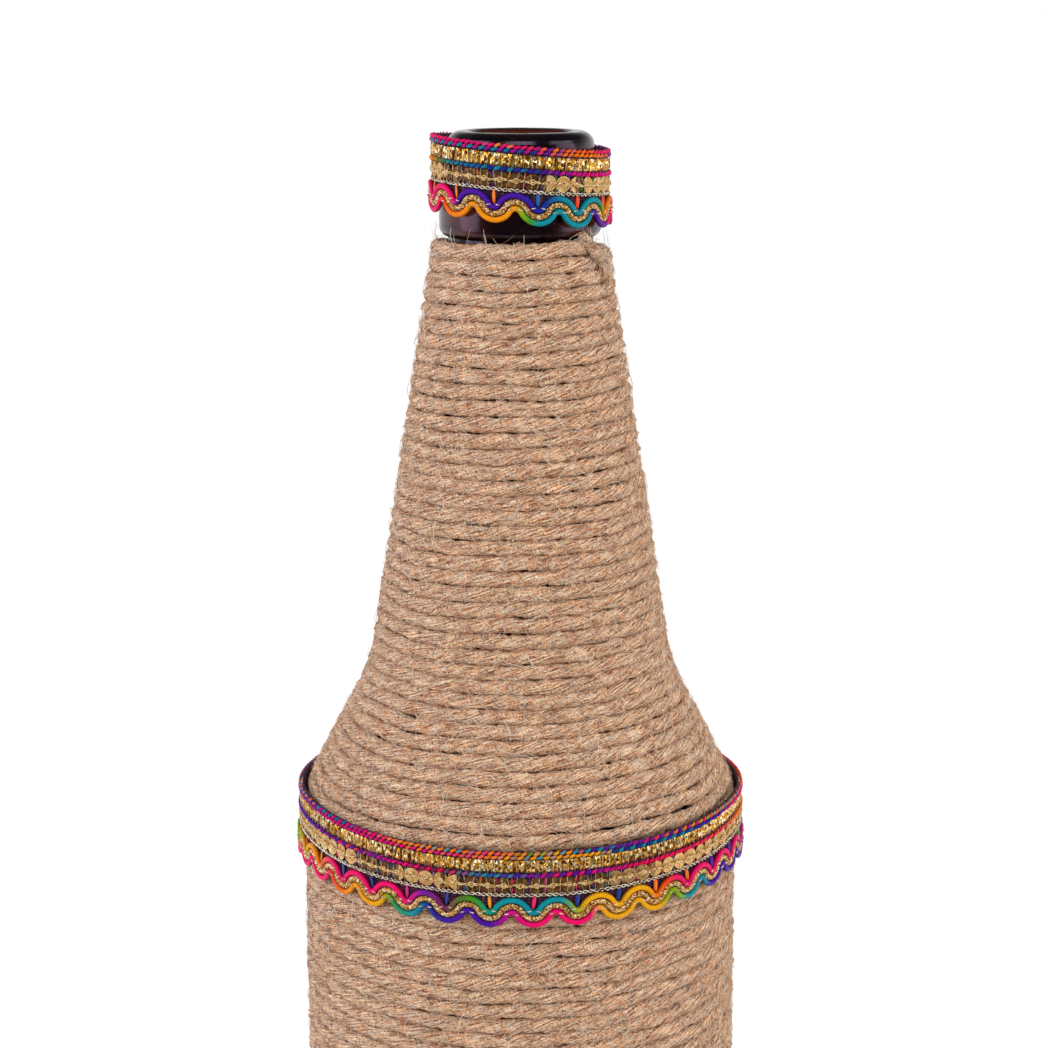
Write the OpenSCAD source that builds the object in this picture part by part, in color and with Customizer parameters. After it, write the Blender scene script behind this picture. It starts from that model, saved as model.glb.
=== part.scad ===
// Twine-wrapped glass bottle with two scalloped trims and a rolled message inside.
// Millimetres, +Z up, origin at the middle of the foot.

/* [Bottle] */
// Height of the glass from the foot to the top of the lip
bottle_h = 290; // [284:1:300]
// Diameter of the glass body
body_d = 75.8; // [74:0.2:78]
// Glass thickness of the body
wall = 3.5; // [2.5:0.1:4]
// Diameter of the lip at the mouth
lip_d = 26.6; // [26:0.1:27]
// Diameter of the collar under the lip
collar_d = 29.4; // [28:0.1:29.6]
// Diameter of the bore at the mouth
bore_d = 16; // [15.4:0.1:17]
// Height of the corner between the body and the shoulder, above the foot
shoulder_z = 167.5; // [150:0.5:172]
// Depth of the long neck's foot below the top of the lip
neck_foot_drop = 99.2; // [92:0.2:104]

/* [Twine] */
// Step from one turn of twine to the next, along the glass
twine_step = 2.75; // [2.7:0.01:3]
// Thickness of the wound tube, which leaves a gap between its turns
twine_d = 2.3; // [2:0.05:2.3]
// Turns of the winding on the neck that are wound as one tube
neck_turns = 24; // [10:1:24]

/* [Trims] */
// Height of a trim's net band
net_h = 10.6; // [9:0.1:12]
// Thickness of the three scalloped cords
cord_d = 1.05; // [0.8:0.05:1.1]
// Scallops round the neck trim
neck_scallops = 13; // [11:1:15]
// Scallops round the shoulder trim
shoulder_scallops = 34; // [30:1:38]
// Tilt of the neck trim, which is glued on by hand
neck_tilt = 5; // [0:0.5:6]
// Tilt of the shoulder trim
shoulder_tilt = 3; // [0:0.5:3]

/* [Message] */
// Length of the rolled sheet
scroll_l = 148; // [120:1:205]
// Outer diameter of the roll
scroll_d = 11.2; // [10:0.1:11.6]

/* [Hidden] */
$fn = 96;

// Glass

body_r = body_d / 2;
bore_r = bore_d / 2;
lip_r = lip_d / 2;
collar_r = collar_d / 2;
neck_top_r = 13.1;                      // glass under the collar
neck_foot_r = 25.5;                     // glass where the neck meets the shoulder
neck_foot_z = bottle_h - neck_foot_drop;
collar_z = bottle_h - 18.8;             // underside of the collar
collar_top_z = bottle_h - 7.7;
lip_groove_z = bottle_h - 6;            // groove that a crown cap grips under
bore_foot_z = bottle_h - 22;
push_up = 6;                            // hollow under the foot
floor_z = 9.6;                          // inside of the foot, under the roll
inner_r = body_r - wall;

function unit(v) = v / norm(v);

// Points of the arc that rounds corner b between a and c, with the radius in b[2].
function rounded_corner(a, b, c, steps) =
    let (u = unit([a[0] - b[0], a[1] - b[1]]),
         v = unit([c[0] - b[0], c[1] - b[1]]),
         half = acos(max(-1, min(1, u * v))) / 2,
         reach = b[2] / tan(half),
         centre = [b[0], b[1]] + unit(u + v) * b[2] / sin(half),
         from = [b[0], b[1]] + u * reach - centre,
         to = [b[0], b[1]] + v * reach - centre,
         turn = acos(max(-1, min(1, unit(from) * unit(to)))),
         way = (from[0] * to[1] - from[1] * to[0]) > 0 ? 1 : -1)
    [for (i = [0 : steps])
        let (t = way * turn * i / steps)
        centre + [from[0] * cos(t) - from[1] * sin(t), from[0] * sin(t) + from[1] * cos(t)]];

// A profile through [radius, height, rounding] corners, each rounded by its own radius.
function rounded_profile(corners, steps = 6) =
    [for (i = [0 : len(corners) - 1])
        each (corners[i][2] == 0
            ? [[corners[i][0], corners[i][1]]]
            : rounded_corner(corners[i - 1], corners[i], corners[i + 1], steps))];

// Outside of the glass that the twine lies on, from the heel up to the collar.
wrapped_corners = [
    [body_r, 0, 4],
    [body_r, shoulder_z, 14],
    [neck_foot_r, neck_foot_z, 40],
    [neck_top_r, collar_z, 0]
];
foot_corners = [[0, push_up, 0], [20, push_up, 14], [29.4, 0, 1.2]];
finish_corners = [
    [collar_r, collar_z, 1.8],
    [collar_r, collar_top_z, 1.5],
    [lip_r - 0.7, lip_groove_z, 0.5],
    [lip_r, lip_groove_z + 1, 0.4],
    [lip_r, bottle_h, 2.5],
    [bore_r, bottle_h, 2.2]
];
inside_corners = [
    [bore_r, bore_foot_z, 6],
    [neck_top_r - 0.9, bore_foot_z - 20, 20],
    [neck_foot_r - 3.6, neck_foot_z - 0.8, 36],
    [inner_r, shoulder_z - 1.6, 11],
    [inner_r, 5, 4],
    [28, 5, 5],
    [21, floor_z, 5],
    [0, floor_z, 0]
];

module glass_bottle() {
    color("#2b120a")
    rotate_extrude()
    polygon(rounded_profile(concat(foot_corners, wrapped_corners, finish_corners, inside_corners)));
}

// Twine. Its turns follow the glass, so places on it are lengths measured along the glass profile.

glass_skin = rounded_profile(concat([[29.4, 0, 0]], wrapped_corners));
skin_steps = [for (i = [1 : len(glass_skin) - 1]) norm(glass_skin[i] - glass_skin[i - 1])];
function sum_to(list, n, i = 0, total = 0) = i >= n ? total : sum_to(list, n, i + 1, total + list[i]);
skin_lengths = [for (i = [0 : len(glass_skin) - 1]) sum_to(skin_steps, i)];
skin_r = [for (i = [0 : len(glass_skin) - 1]) [skin_lengths[i], glass_skin[i][0]]];
skin_z = [for (i = [0 : len(glass_skin) - 1]) [skin_lengths[i], glass_skin[i][1]]];
skin_length = skin_lengths[len(glass_skin) - 1];

function skin_point(s) = [lookup(s, skin_r), lookup(s, skin_z)];
function skin_tangent(s) = unit(skin_point(s + 0.5) - skin_point(s - 0.5));
function skin_normal(s) = let (t = skin_tangent(s)) [t[1], -t[0]];
function off_skin(s, away) = skin_point(s) + skin_normal(s) * away;

twine_seat = 0.28;                      // keeps the straight-sided tube off the round glass
twine_top = skin_length - twine_d / 2 - 0.4;
neck_winding_foot = twine_top - neck_turns * twine_step;
shoulder_winding_foot = skin_length - 104.5;
body_winding_foot = 10;
tube_rings = 24;                        // rings in one turn of the tube
tube_sides = 6;

// A closed or open tube along points, whose sides face away from the bottle's axis.
module tube(points, radius, sides, closed) {
    n = len(points);
    rings = tube_points(points, radius, sides, closed);
    last = closed ? n - 1 : n - 2;
    walls = [for (i = [0 : last], k = [0 : sides - 1])
        let (a = i * sides + k,
             b = i * sides + (k + 1) % sides,
             c = ((i + 1) % n) * sides + (k + 1) % sides,
             d = ((i + 1) % n) * sides + k)
        each [[a, b, c], [a, c, d]]];
    ends = closed ? [] : [for (k = [1 : sides - 2])
        each [[0, k + 1, k], [(n - 1) * sides, (n - 1) * sides + k, (n - 1) * sides + k + 1]]];
    polyhedron(points = rings, faces = concat(walls, ends), convexity = 10);
}

function tube_points(points, radius, sides, closed) =
    let (n = len(points))
    [for (i = [0 : n - 1])
        let (p = points[i],
             q = points[closed ? (i + n - 1) % n : max(i - 1, 0)],
             r = points[closed ? (i + 1) % n : min(i + 1, n - 1)],
             along = unit(r - q),
             outward = unit([p[0], p[1], 0]),
             side = unit(cross(along, outward)),
             out = cross(side, along))
        for (k = [0 : sides - 1])
            let (a = 360 * (k + 0.5) / sides)
            p + radius * (out * cos(a) + side * sin(a))];

function on_winding(s, angle) =
    let (p = off_skin(s, twine_d / 2 + twine_seat))
    [p[0] * cos(angle), p[0] * sin(angle), p[1]];

winding_start = -35;                    // where the twine's upper end is tucked in
winding_body = [for (i = [0 : neck_turns * tube_rings])
    on_winding(twine_top - i * twine_step / tube_rings, winding_start - 360 * i / tube_rings)];
winding_n = len(winding_body);
winding_path = concat(
    [winding_body[0] + unit(winding_body[0] - winding_body[1]) * twine_d],
    winding_body,
    [winding_body[winding_n - 1]
        + unit(winding_body[winding_n - 1] - winding_body[winding_n - 2]) * twine_d]);

// The least gap between a turn and the next, measured between the tube's own corners.
winding_corners = tube_points(winding_path, twine_d / 2, tube_sides, false);
winding_gap = min([for (i = [0 : tube_sides : len(winding_corners) - tube_rings * tube_sides - tube_sides])
    each [for (j = [0 : tube_sides - 1], k = [0 : tube_sides - 1])
        norm(winding_corners[i + j] - winding_corners[i + tube_rings * tube_sides + k])]]);
echo(least_gap_between_turns = winding_gap);

module twine_neck_winding() {
    color("#b79268")
    tube(winding_path, twine_d / 2, tube_sides, false);
}

// A stretch of winding whose turns lie against each other: one bead for each turn.
module beaded_winding(foot, top) {
    turns = round((top - foot) / twine_step);
    step = (top - foot) / turns;
    beads = [for (i = [0 : turns - 1], a = [-54 : 27 : 54])
        let (s = foot + (i + 0.5) * step,
             t = skin_tangent(s),
             o = skin_normal(s))
        off_skin(s, step * 0.46) + step * (o * 0.54 * cos(a) + t * 0.6 * sin(a))];
    back = [for (s = [top : -step : foot - 0.01]) off_skin(s, 0.06)];
    color("#b79268")
    rotate_extrude()
    polygon(concat(beads, back));
}

module twine_shoulder_winding() {
    beaded_winding(shoulder_winding_foot, neck_winding_foot - twine_d / 2 - 0.6);
}

module twine_body_winding() {
    beaded_winding(body_winding_foot, shoulder_winding_foot - 0.1);
}

// Trims. Each is a strip that hangs down from its top edge, and the drops are depths below it.
// A trim is a list: [radius of its back, height of its top edge, scallops, tilt about X and Y,
// angle by which its pattern is turned round the bottle].
// It stays coaxial with the bottle, so each level of it is tilted about its own middle.

neck_trim = [15.2, bottle_h - 2, neck_scallops, [0, neck_tilt], 11];
shoulder_trim =
    [body_r + twine_step + 0.2, shoulder_z + 3.1, shoulder_scallops, [shoulder_tilt, 0], 0.6];

function trim_slope(trim) = [-tan(trim[3][1]), tan(trim[3][0])];
function slope_rise(trim, p) = trim_slope(trim) * [p[0], p[1]];

band_t = 0.35;                          // net and its lining
ring_gap = 0.12;                        // keeps a tilted ring, which narrows, off the upright band
top_edging_d = 0.66;                    // two rows of chain stitch
middle_edging_d = 0.8;
tape_top = 1.45;
tape_h = 2.1;
tape_t = 0.45;
facet_w = 1.9;                          // a pressed facet of the gold tape
facet_depth = 0.2;
middle_edging_drop = 4.05;
sequin_drop = 5.95;
sequin_step = 2.8;
sequin_d = 2.6;
sequin_hole_d = 0.8;
sequin_t = 0.16;
chain_d = 0.4;                          // thread that holds the sequins
silver_drop = 7.65;
silver_d = 0.5;
wave_drop = 10.75;                      // middle line of the gold wave
cord_offset = 1.12;                     // between the middles of two neighbouring cords
tie_d = 0.45;
cord_sides = 4;
arc_steps = 4;                          // rings for each arc of a scalloped cord

// A scalloped cord is made of arcs that bend up and down in turn. The gold wave's arcs share one
// radius; the cords above and below it run parallel to it, so their arcs are wider and tighter.
function wave_radius(period) = 0.285 * period;
function wave_angle(period) = asin(period / 4 / wave_radius(period));

function wave_point(period, offset, i) =
    let (radius = wave_radius(period),
         reach = wave_angle(period),
         part = i / arc_steps,
         hump = floor(part),
         up = hump % 2 == 0 ? 1 : -1,
         a = reach * (2 * (part - hump) - 1))
    [(hump + 0.5) * period / 2 + (radius + up * offset) * sin(a),
     up * ((radius + up * offset) * cos(a) - radius * cos(reach))];

function cord_r(trim) = trim[0] + band_t + cord_d / 2 + 0.04;
function cord_period(trim) = 2 * PI * cord_r(trim) / trim[2];

function wave_path(trim, offset) =
    [for (i = [0 : trim[2] * 2 * arc_steps - 1])
        let (w = wave_point(cord_period(trim), offset, i),
             angle = w[0] / cord_r(trim) * 180 / PI + trim[4],
             p = cord_r(trim) * [cos(angle), sin(angle)])
        [p[0], p[1], trim[1] - wave_drop + w[1] + slope_rise(trim, p)]];

// Puts its children at a level of the trim and tilts them about the middle of that level.
module at_level(trim, drop) {
    translate([0, 0, trim[1] - drop]) rotate([trim[3][0], trim[3][1], 0]) children();
}

// Puts its children at a place on the trim's face, turned to look outwards.
module on_trim(trim, away, drop, angle) {
    p = (trim[0] + away) * [cos(angle), sin(angle)];
    translate([p[0], p[1], trim[1] - drop + slope_rise(trim, p)]) rotate([0, 0, angle]) children();
}

// What is left of an upright sleeve between two tilted edges: a strip laid straight round a cylinder.
module between_edges(trim, top, bottom) {
    reach = 2 * trim[0] + 10;
    height = (bottom - top) * cos(max(trim[3]));
    intersection() {
        translate([0, 0, trim[1] - bottom - 10]) linear_extrude(bottom - top + 20) children();
        at_level(trim, bottom) translate([-reach / 2, -reach / 2, 0]) cube([reach, reach, height]);
    }
}

module ring(ring_r, thickness) {
    rotate_extrude() translate([ring_r, 0]) circle(d = thickness);
}

module net_band(trim) {
    color("#5b2a55")
    between_edges(trim, 0, net_h)
    difference() {
        circle(r = trim[0] + band_t);
        circle(r = trim[0]);
    }
}

module top_edging(trim) {
    ring_r = trim[0] + band_t + ring_gap + top_edging_d / 2;
    color("#e0218a")
    for (row = [0.5, 1.55]) at_level(trim, row * top_edging_d) ring(ring_r, top_edging_d);
}

module gold_tape(trim) {
    inner = trim[0] + band_t + 0.03;
    facets = round(2 * PI * inner / facet_w);
    color("#c99a2e")
    between_edges(trim, tape_top, tape_top + tape_h)
    difference() {
        polygon([for (i = [0 : facets * 2 - 1])
            let (a = 180 * i / facets, reach = inner + tape_t - (i % 2 == 0 ? 0 : facet_depth))
            [reach * cos(a), reach * sin(a)]]);
        polygon([for (i = [0 : facets * 2 - 1])
            let (a = 180 * i / facets)
            [inner * cos(a), inner * sin(a)]]);
    }
}

module middle_edging(trim) {
    ring_r = trim[0] + band_t + ring_gap + middle_edging_d / 2;
    color("#4527a0")
    at_level(trim, middle_edging_drop) ring(ring_r, middle_edging_d);
}

module sequin() {
    rotate([0, 90, 0])
    difference() {
        cylinder(d = sequin_d, h = sequin_t);
        translate([0, 0, -1]) cylinder(d = sequin_hole_d, h = sequin_t + 2, $fn = 24);
    }
}

module sequins(trim) {
    count = round(2 * PI * trim[0] / sequin_step);
    color("#c8a05a")
    for (i = [0 : count - 1])
        on_trim(trim, band_t + 0.04, sequin_drop, 360 * i / count) sequin();
}

module sequin_chain(trim) {
    color("#d9b36a")
    at_level(trim, sequin_drop) ring(trim[0] + band_t + sequin_t + 0.2 + chain_d / 2, chain_d);
}

module silver_thread(trim) {
    color("#b9b3a6")
    at_level(trim, silver_drop) ring(trim[0] + band_t + ring_gap + silver_d / 2, silver_d);
}

module upper_scallop_cord(trim) {
    color("#16a3a0") tube(wave_path(trim, cord_offset), cord_d / 2, cord_sides, true);
}

module gold_wave_braid(trim) {
    color("#c79c53") tube(wave_path(trim, 0), cord_d / 2, cord_sides, true);
}

module lower_scallop_cord(trim) {
    color("#f39a12") tube(wave_path(trim, -cord_offset), cord_d / 2, cord_sides, true);
}

// A short thread from the silver thread down to each dip of the upper cord.
module tie_threads(trim) {
    period = cord_period(trim);
    dip = wave_radius(period) * (1 - cos(wave_angle(period))) - cord_offset;
    top = silver_drop + silver_d / 2 + 0.04;
    foot = wave_drop + dip - cord_d / 2 - 0.05;
    color("#f28c1b")
    for (i = [0 : trim[2] - 1])
        on_trim(trim, band_t + tie_d / 2 + 0.04, foot, 360 * (i + 0.75) / trim[2] + trim[4])
        cylinder(d = tie_d, h = foot - top, $fn = 24);
}

// Message: a sheet 148 mm long rolled up, standing on the inside of the foot and held by a thread.

sheet_t = 0.2;
roll_step = 0.45;                       // from one layer of the roll to the next
roll_turns = 5.5;
roll_points = 20;                       // corners in one turn of the rolled sheet
scroll_z = floor_z + 0.1;
tie_thread_d = 1;
tie_drop = scroll_l / 2;

module message_scroll() {
    outer = scroll_d / 2;
    count = roll_turns * roll_points;
    function spiral(i, inset) =
        let (a = 360 * i / roll_points, reach = outer - inset - roll_step * i / roll_points)
        [reach * cos(a), reach * sin(a)];
    color("#efe3c6")
    translate([0, 0, scroll_z])
    linear_extrude(scroll_l)
    polygon(concat(
        [for (i = [0 : count]) spiral(i, 0)],
        [for (i = [count : -1 : 0]) spiral(i, sheet_t)]));
}

module message_tie() {
    loop_r = scroll_d / 2 + tie_thread_d / 2 + 0.02;
    color("#8e2f2a")
    translate([0, 0, scroll_z + tie_drop]) {
        ring(loop_r, tie_thread_d);
        translate([0, 0, tie_thread_d + 0.1]) ring(loop_r, tie_thread_d);
    }
}

glass_bottle();
twine_neck_winding();
twine_shoulder_winding();
twine_body_winding();
net_band(neck_trim);  // neck_trim_net_band
top_edging(neck_trim);  // neck_trim_top_edging
gold_tape(neck_trim);  // neck_trim_gold_tape
middle_edging(neck_trim);  // neck_trim_middle_edging
sequins(neck_trim);  // neck_trim_sequins
sequin_chain(neck_trim);  // neck_trim_sequin_chain
silver_thread(neck_trim);  // neck_trim_silver_thread
upper_scallop_cord(neck_trim);  // neck_trim_upper_scallop_cord
gold_wave_braid(neck_trim);  // neck_trim_gold_wave_braid
lower_scallop_cord(neck_trim);  // neck_trim_lower_scallop_cord
tie_threads(neck_trim);  // neck_trim_tie_threads
net_band(shoulder_trim);  // shoulder_trim_net_band
top_edging(shoulder_trim);  // shoulder_trim_top_edging
gold_tape(shoulder_trim);  // shoulder_trim_gold_tape
middle_edging(shoulder_trim);  // shoulder_trim_middle_edging
sequins(shoulder_trim);  // shoulder_trim_sequins
sequin_chain(shoulder_trim);  // shoulder_trim_sequin_chain
silver_thread(shoulder_trim);  // shoulder_trim_silver_thread
upper_scallop_cord(shoulder_trim);  // shoulder_trim_upper_scallop_cord
gold_wave_braid(shoulder_trim);  // shoulder_trim_gold_wave_braid
lower_scallop_cord(shoulder_trim);  // shoulder_trim_lower_scallop_cord
tie_threads(shoulder_trim);  // shoulder_trim_tie_threads
message_scroll();
message_tie();
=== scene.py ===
import math
import random

import bpy
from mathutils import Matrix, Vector, noise


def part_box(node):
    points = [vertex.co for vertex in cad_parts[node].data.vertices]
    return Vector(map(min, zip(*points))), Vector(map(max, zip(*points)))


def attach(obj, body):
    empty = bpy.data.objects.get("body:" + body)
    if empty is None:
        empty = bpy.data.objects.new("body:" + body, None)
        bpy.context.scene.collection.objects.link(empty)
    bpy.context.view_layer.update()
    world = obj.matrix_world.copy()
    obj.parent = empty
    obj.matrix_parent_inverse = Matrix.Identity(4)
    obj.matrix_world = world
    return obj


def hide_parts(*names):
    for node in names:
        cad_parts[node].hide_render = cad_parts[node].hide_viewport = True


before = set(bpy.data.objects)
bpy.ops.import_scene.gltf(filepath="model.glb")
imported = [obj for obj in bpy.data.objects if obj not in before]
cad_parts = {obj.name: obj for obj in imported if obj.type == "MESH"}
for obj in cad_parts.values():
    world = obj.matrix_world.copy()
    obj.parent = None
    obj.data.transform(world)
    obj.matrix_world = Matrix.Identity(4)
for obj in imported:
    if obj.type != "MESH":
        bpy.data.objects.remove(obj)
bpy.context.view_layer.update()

MM = 0.001


# The stage: the camera where the photograph was taken from, a white floor, and three soft boxes
# in a white room, as in a small product studio.

BOTTLE_HIGH = Vector(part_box("glass_bottle")[1])  # the far upper corner of its box
LIP_TOP = BOTTLE_HIGH.z
CAMERA_REACH = 442 * MM
CAMERA_RISE = 21.8 * MM
CAMERA_SIDE = 0.65 * MM
CAMERA_PITCH = math.radians(12)
FOCAL_LENGTH = 83.7
SENSOR_WIDTH = 36
FLOOR_REACH = 6.0
ROOM_LIGHT = 0.62


def linear(hex_colour):
    """An sRGB hex colour as Blender's linear colour."""
    levels = [int(hex_colour[i:i + 2], 16) / 255 for i in (1, 3, 5)]
    return [v / 12.92 if v <= 0.04045 else ((v + 0.055) / 1.055) ** 2.4 for v in levels] + [1]


def join(tree, node, links):
    """Set a node's inputs: each takes a value, or the output of another node, or a socket."""
    for key, value in links.items():
        if isinstance(value, bpy.types.Node):
            value = next(socket for socket in value.outputs if socket.enabled)
        if isinstance(value, bpy.types.NodeSocket):
            tree.links.new(value, node.inputs[key])
        else:
            node.inputs[key].default_value = value


def add_node(tree, kind, links=None, stops=(), **settings):
    """Add a node: settings are its properties and links its inputs. Stops are the places, from 0 to
    1, and the hex colours of a colour ramp."""
    node = tree.nodes.new(kind)
    for name, value in settings.items():
        setattr(node, name, value)
    join(tree, node, links or {})
    for i, (place, colour) in enumerate(stops):
        ramp = node.color_ramp.elements
        stop = ramp[i] if i < 2 else ramp.new(place)
        stop.position, stop.color = place, linear(colour)
    return node


def put_in(name, data):
    """Put an object with this mesh, lamp or camera in the scene."""
    item = bpy.data.objects.new(name, data)
    bpy.context.scene.collection.objects.link(item)
    return item


def empty_material(name):
    material = bpy.data.materials.new(name)
    material.use_nodes = True
    material.node_tree.nodes.clear()
    return material, material.node_tree


def white_floor():
    """White to the camera and in reflections, and a little darker where the bottle shades it. In
    reflections it is dark in front, where the room is, so that the glass can look black."""
    material, tree = empty_material("white_painted_floor")
    paint = add_node(tree, "ShaderNodeBsdfDiffuse", {"Color": linear("#f2f2f2")})
    glow = add_node(tree, "ShaderNodeEmission", {"Color": (1, 1, 1, 1), "Strength": 1.2})
    path = add_node(tree, "ShaderNodeLightPath")
    seen = add_node(tree, "ShaderNodeMath", {0: path.outputs["Is Camera Ray"],
                                             1: path.outputs["Is Glossy Ray"]}, operation="MAXIMUM")
    seen = add_node(tree, "ShaderNodeMath", {0: seen, 1: path.outputs["Is Transmission Ray"]},
                    operation="MAXIMUM")
    share = add_node(tree, "ShaderNodeMath", {0: seen, 1: 0.7}, operation="MULTIPLY")
    mixed = add_node(tree, "ShaderNodeMixShader", {0: share, 1: paint, 2: glow})
    place = add_node(tree, "ShaderNodeTexCoord").outputs["Object"]
    depth = add_node(tree, "ShaderNodeSeparateXYZ", {"Vector": place}).outputs["Y"]
    near = add_node(tree, "ShaderNodeMapRange", {"Value": depth, "From Min": -0.1, "From Max": -0.5})
    near = add_node(tree, "ShaderNodeMath", {0: near, 1: path.outputs["Is Glossy Ray"]},
                    operation="MULTIPLY")
    shade = add_node(tree, "ShaderNodeEmission", {"Color": (1, 1, 1, 1), "Strength": 0.12})
    mixed = add_node(tree, "ShaderNodeMixShader", {0: near, 1: mixed, 2: shade})
    add_node(tree, "ShaderNodeOutputMaterial", {"Surface": mixed})
    mesh = bpy.data.meshes.new("floor")
    corners = [(-1, -1), (1, -1), (1, 1), (-1, 1)]
    mesh.from_pydata([(x * FLOOR_REACH, y * FLOOR_REACH, 0) for x, y in corners], [], [(0, 1, 2, 3)])
    mesh.materials.append(material)
    put_in("floor", mesh)


def white_room():
    """White to the camera, through glass and in reflections of the backdrop. The ceiling and the
    room in front are dim, so that black glass and foil have something dark to show."""
    world = bpy.data.worlds.new("studio")
    bpy.context.scene.world = world
    world.use_nodes = True
    tree = world.node_tree
    tree.nodes.clear()
    path = add_node(tree, "ShaderNodeLightPath")
    seen = add_node(tree, "ShaderNodeMath", {0: path.outputs["Is Camera Ray"],
                                             1: path.outputs["Is Transmission Ray"]},
                    operation="MAXIMUM")
    level = add_node(tree, "ShaderNodeMapRange", {"Value": seen, "To Min": ROOM_LIGHT, "To Max": 1.0})
    way = add_node(tree, "ShaderNodeTexCoord").outputs["Generated"]
    split = add_node(tree, "ShaderNodeSeparateXYZ", {"Vector": way})
    behind = add_node(tree, "ShaderNodeMapRange", {"Value": split.outputs["Y"], "From Min": -0.1,
                                                   "From Max": 0.6})
    low = add_node(tree, "ShaderNodeMapRange", {"Value": split.outputs["Z"], "From Min": 0.1,
                                                "From Max": 0.5, "To Min": 1.0, "To Max": 0.0})
    backdrop = add_node(tree, "ShaderNodeMath", {0: behind, 1: low}, operation="MULTIPLY")
    mirrored = add_node(tree, "ShaderNodeMapRange", {"Value": backdrop, "To Min": 0.08, "To Max": 1.0})
    level = add_node(tree, "ShaderNodeMix", {"Factor": path.outputs["Is Glossy Ray"], "A": level,
                                             "B": mirrored}, data_type="FLOAT")
    light = add_node(tree, "ShaderNodeBackground", {"Color": (1, 1, 1, 1), "Strength": level})
    add_node(tree, "ShaderNodeOutputWorld", {"Surface": light})


def soft_box(name, place, aim, size, watts, tint="#ffffff"):
    """A rectangular lamp at a place, aimed at another."""
    lamp = bpy.data.lights.new(name, "AREA")
    lamp.shape = "RECTANGLE"
    lamp.size, lamp.size_y = size
    lamp.energy = watts
    lamp.color = linear(tint)[:3]
    light = put_in(name, lamp)
    light.location = place
    light.rotation_euler = (Vector(aim) - Vector(place)).to_track_quat("-Z", "Y").to_euler()


def photograph_camera():
    """Where the photographer stood, a little over the lip and looking down at the bottle."""
    camera = bpy.data.cameras.new("camera")
    camera.lens = FOCAL_LENGTH
    camera.sensor_width = SENSOR_WIDTH
    camera.clip_start = 0.01
    seat = put_in("camera", camera)
    seat.location = (CAMERA_SIDE, -CAMERA_REACH, LIP_TOP + CAMERA_RISE)
    seat.rotation_euler = (math.pi / 2 - CAMERA_PITCH, 0, 0)
    bpy.context.scene.camera = seat


photograph_camera()
white_floor()
white_room()
middle = (0, 0, 0.6 * LIP_TOP)
soft_box("soft_box_left", (-0.85, -0.2, 0.55), middle, (0.6, 0.9), 4.7, "#e6ecff")
soft_box("soft_box_right", (0.85, -0.2, 0.55), middle, (0.6, 0.9), 3.5)
soft_box("soft_box_front", (0, -1.15, 1.25), middle, (1.0, 0.8), 8.9)
bpy.context.scene.view_settings.view_transform = "Standard"


# The bottle: one blown piece of amber soda-lime glass with a hollow foot and a crown finish. It is
# so thick and dark that it looks black but for its reflections and a brown glow at the lip.

MOUTH_RADIUS = 8 * MM


def new_material(name, **values):
    """A material whose shader has these values on its own sockets, returned with tree and shader."""
    material = bpy.data.materials.new(name)
    material.use_nodes = True
    shader = material.node_tree.nodes["Principled BSDF"]
    for socket, value in values.items():
        shader.inputs[socket.replace("_", " ")].default_value = value
    return material, material.node_tree, shader


def amber_glass():
    """Fire-polished, but filmed over by handling: broad soft reflections, a little lilac, over faint
    ripples some 9 mm apart, with duller smears of glue and dust some 4 mm across."""
    material, tree, shader = new_material("amber_soda_lime_glass", IOR=1.52, Specular_IOR_Level=0.34,
                                          Specular_Tint=linear("#e2c8e6"))
    place = add_node(tree, "ShaderNodeTexCoord").outputs["Object"]
    smears = add_node(tree, "ShaderNodeTexNoise", {"Vector": place, "Scale": 260.0, "Detail": 5.0,
                                                   "Roughness": 0.7})
    rough = add_node(tree, "ShaderNodeMapRange", {"Value": smears, "From Min": 0.5, "From Max": 0.75,
                                                  "To Min": 0.16, "To Max": 0.42})
    ripple = add_node(tree, "ShaderNodeTexNoise", {"Vector": place, "Scale": 110.0, "Detail": 1.0})
    bump = add_node(tree, "ShaderNodeBump", {"Height": ripple, "Strength": 0.12, "Distance": 0.2 * MM})
    # Light that runs up inside the glass comes out as an orange glow round the edge of the mouth.
    split = add_node(tree, "ShaderNodeSeparateXYZ", {"Vector": place})
    flat = add_node(tree, "ShaderNodeCombineXYZ", {"X": split.outputs["X"], "Y": split.outputs["Y"]})
    reach = add_node(tree, "ShaderNodeVectorMath", {0: flat}, operation="LENGTH").outputs["Value"]
    inside = add_node(tree, "ShaderNodeMapRange", {"Value": reach, "From Min": MOUTH_RADIUS + 1.5 * MM,
                                                   "From Max": MOUTH_RADIUS + 0.6 * MM})
    high = add_node(tree, "ShaderNodeMapRange", {"Value": split.outputs["Z"],
                                                 "From Min": LIP_TOP - 2.6 * MM,
                                                 "From Max": LIP_TOP - 0.9 * MM})
    glow = add_node(tree, "ShaderNodeMath", {0: inside, 1: high}, operation="MULTIPLY")
    colour = add_node(tree, "ShaderNodeMix", {"Factor": glow, "A": linear("#4a1c0c"),
                                              "B": linear("#7c3410")}, data_type="RGBA")
    clear = add_node(tree, "ShaderNodeMapRange", {"Value": glow, "To Min": 1.0, "To Max": 0.65})
    join(tree, shader, {"Base Color": colour, "Roughness": rough, "Transmission Weight": clear,
                        "Normal": bump})
    return material


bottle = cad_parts["glass_bottle"]
bottle.data.materials.clear()
bottle.data.materials.append(amber_glass())


# The twine: 20.5 m of three-ply jute, 2.8 mm thick, wound by hand over glue in 98 turns from under
# the collar down to the foot, so that its turns wander and leave a dark slit here and there.

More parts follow.
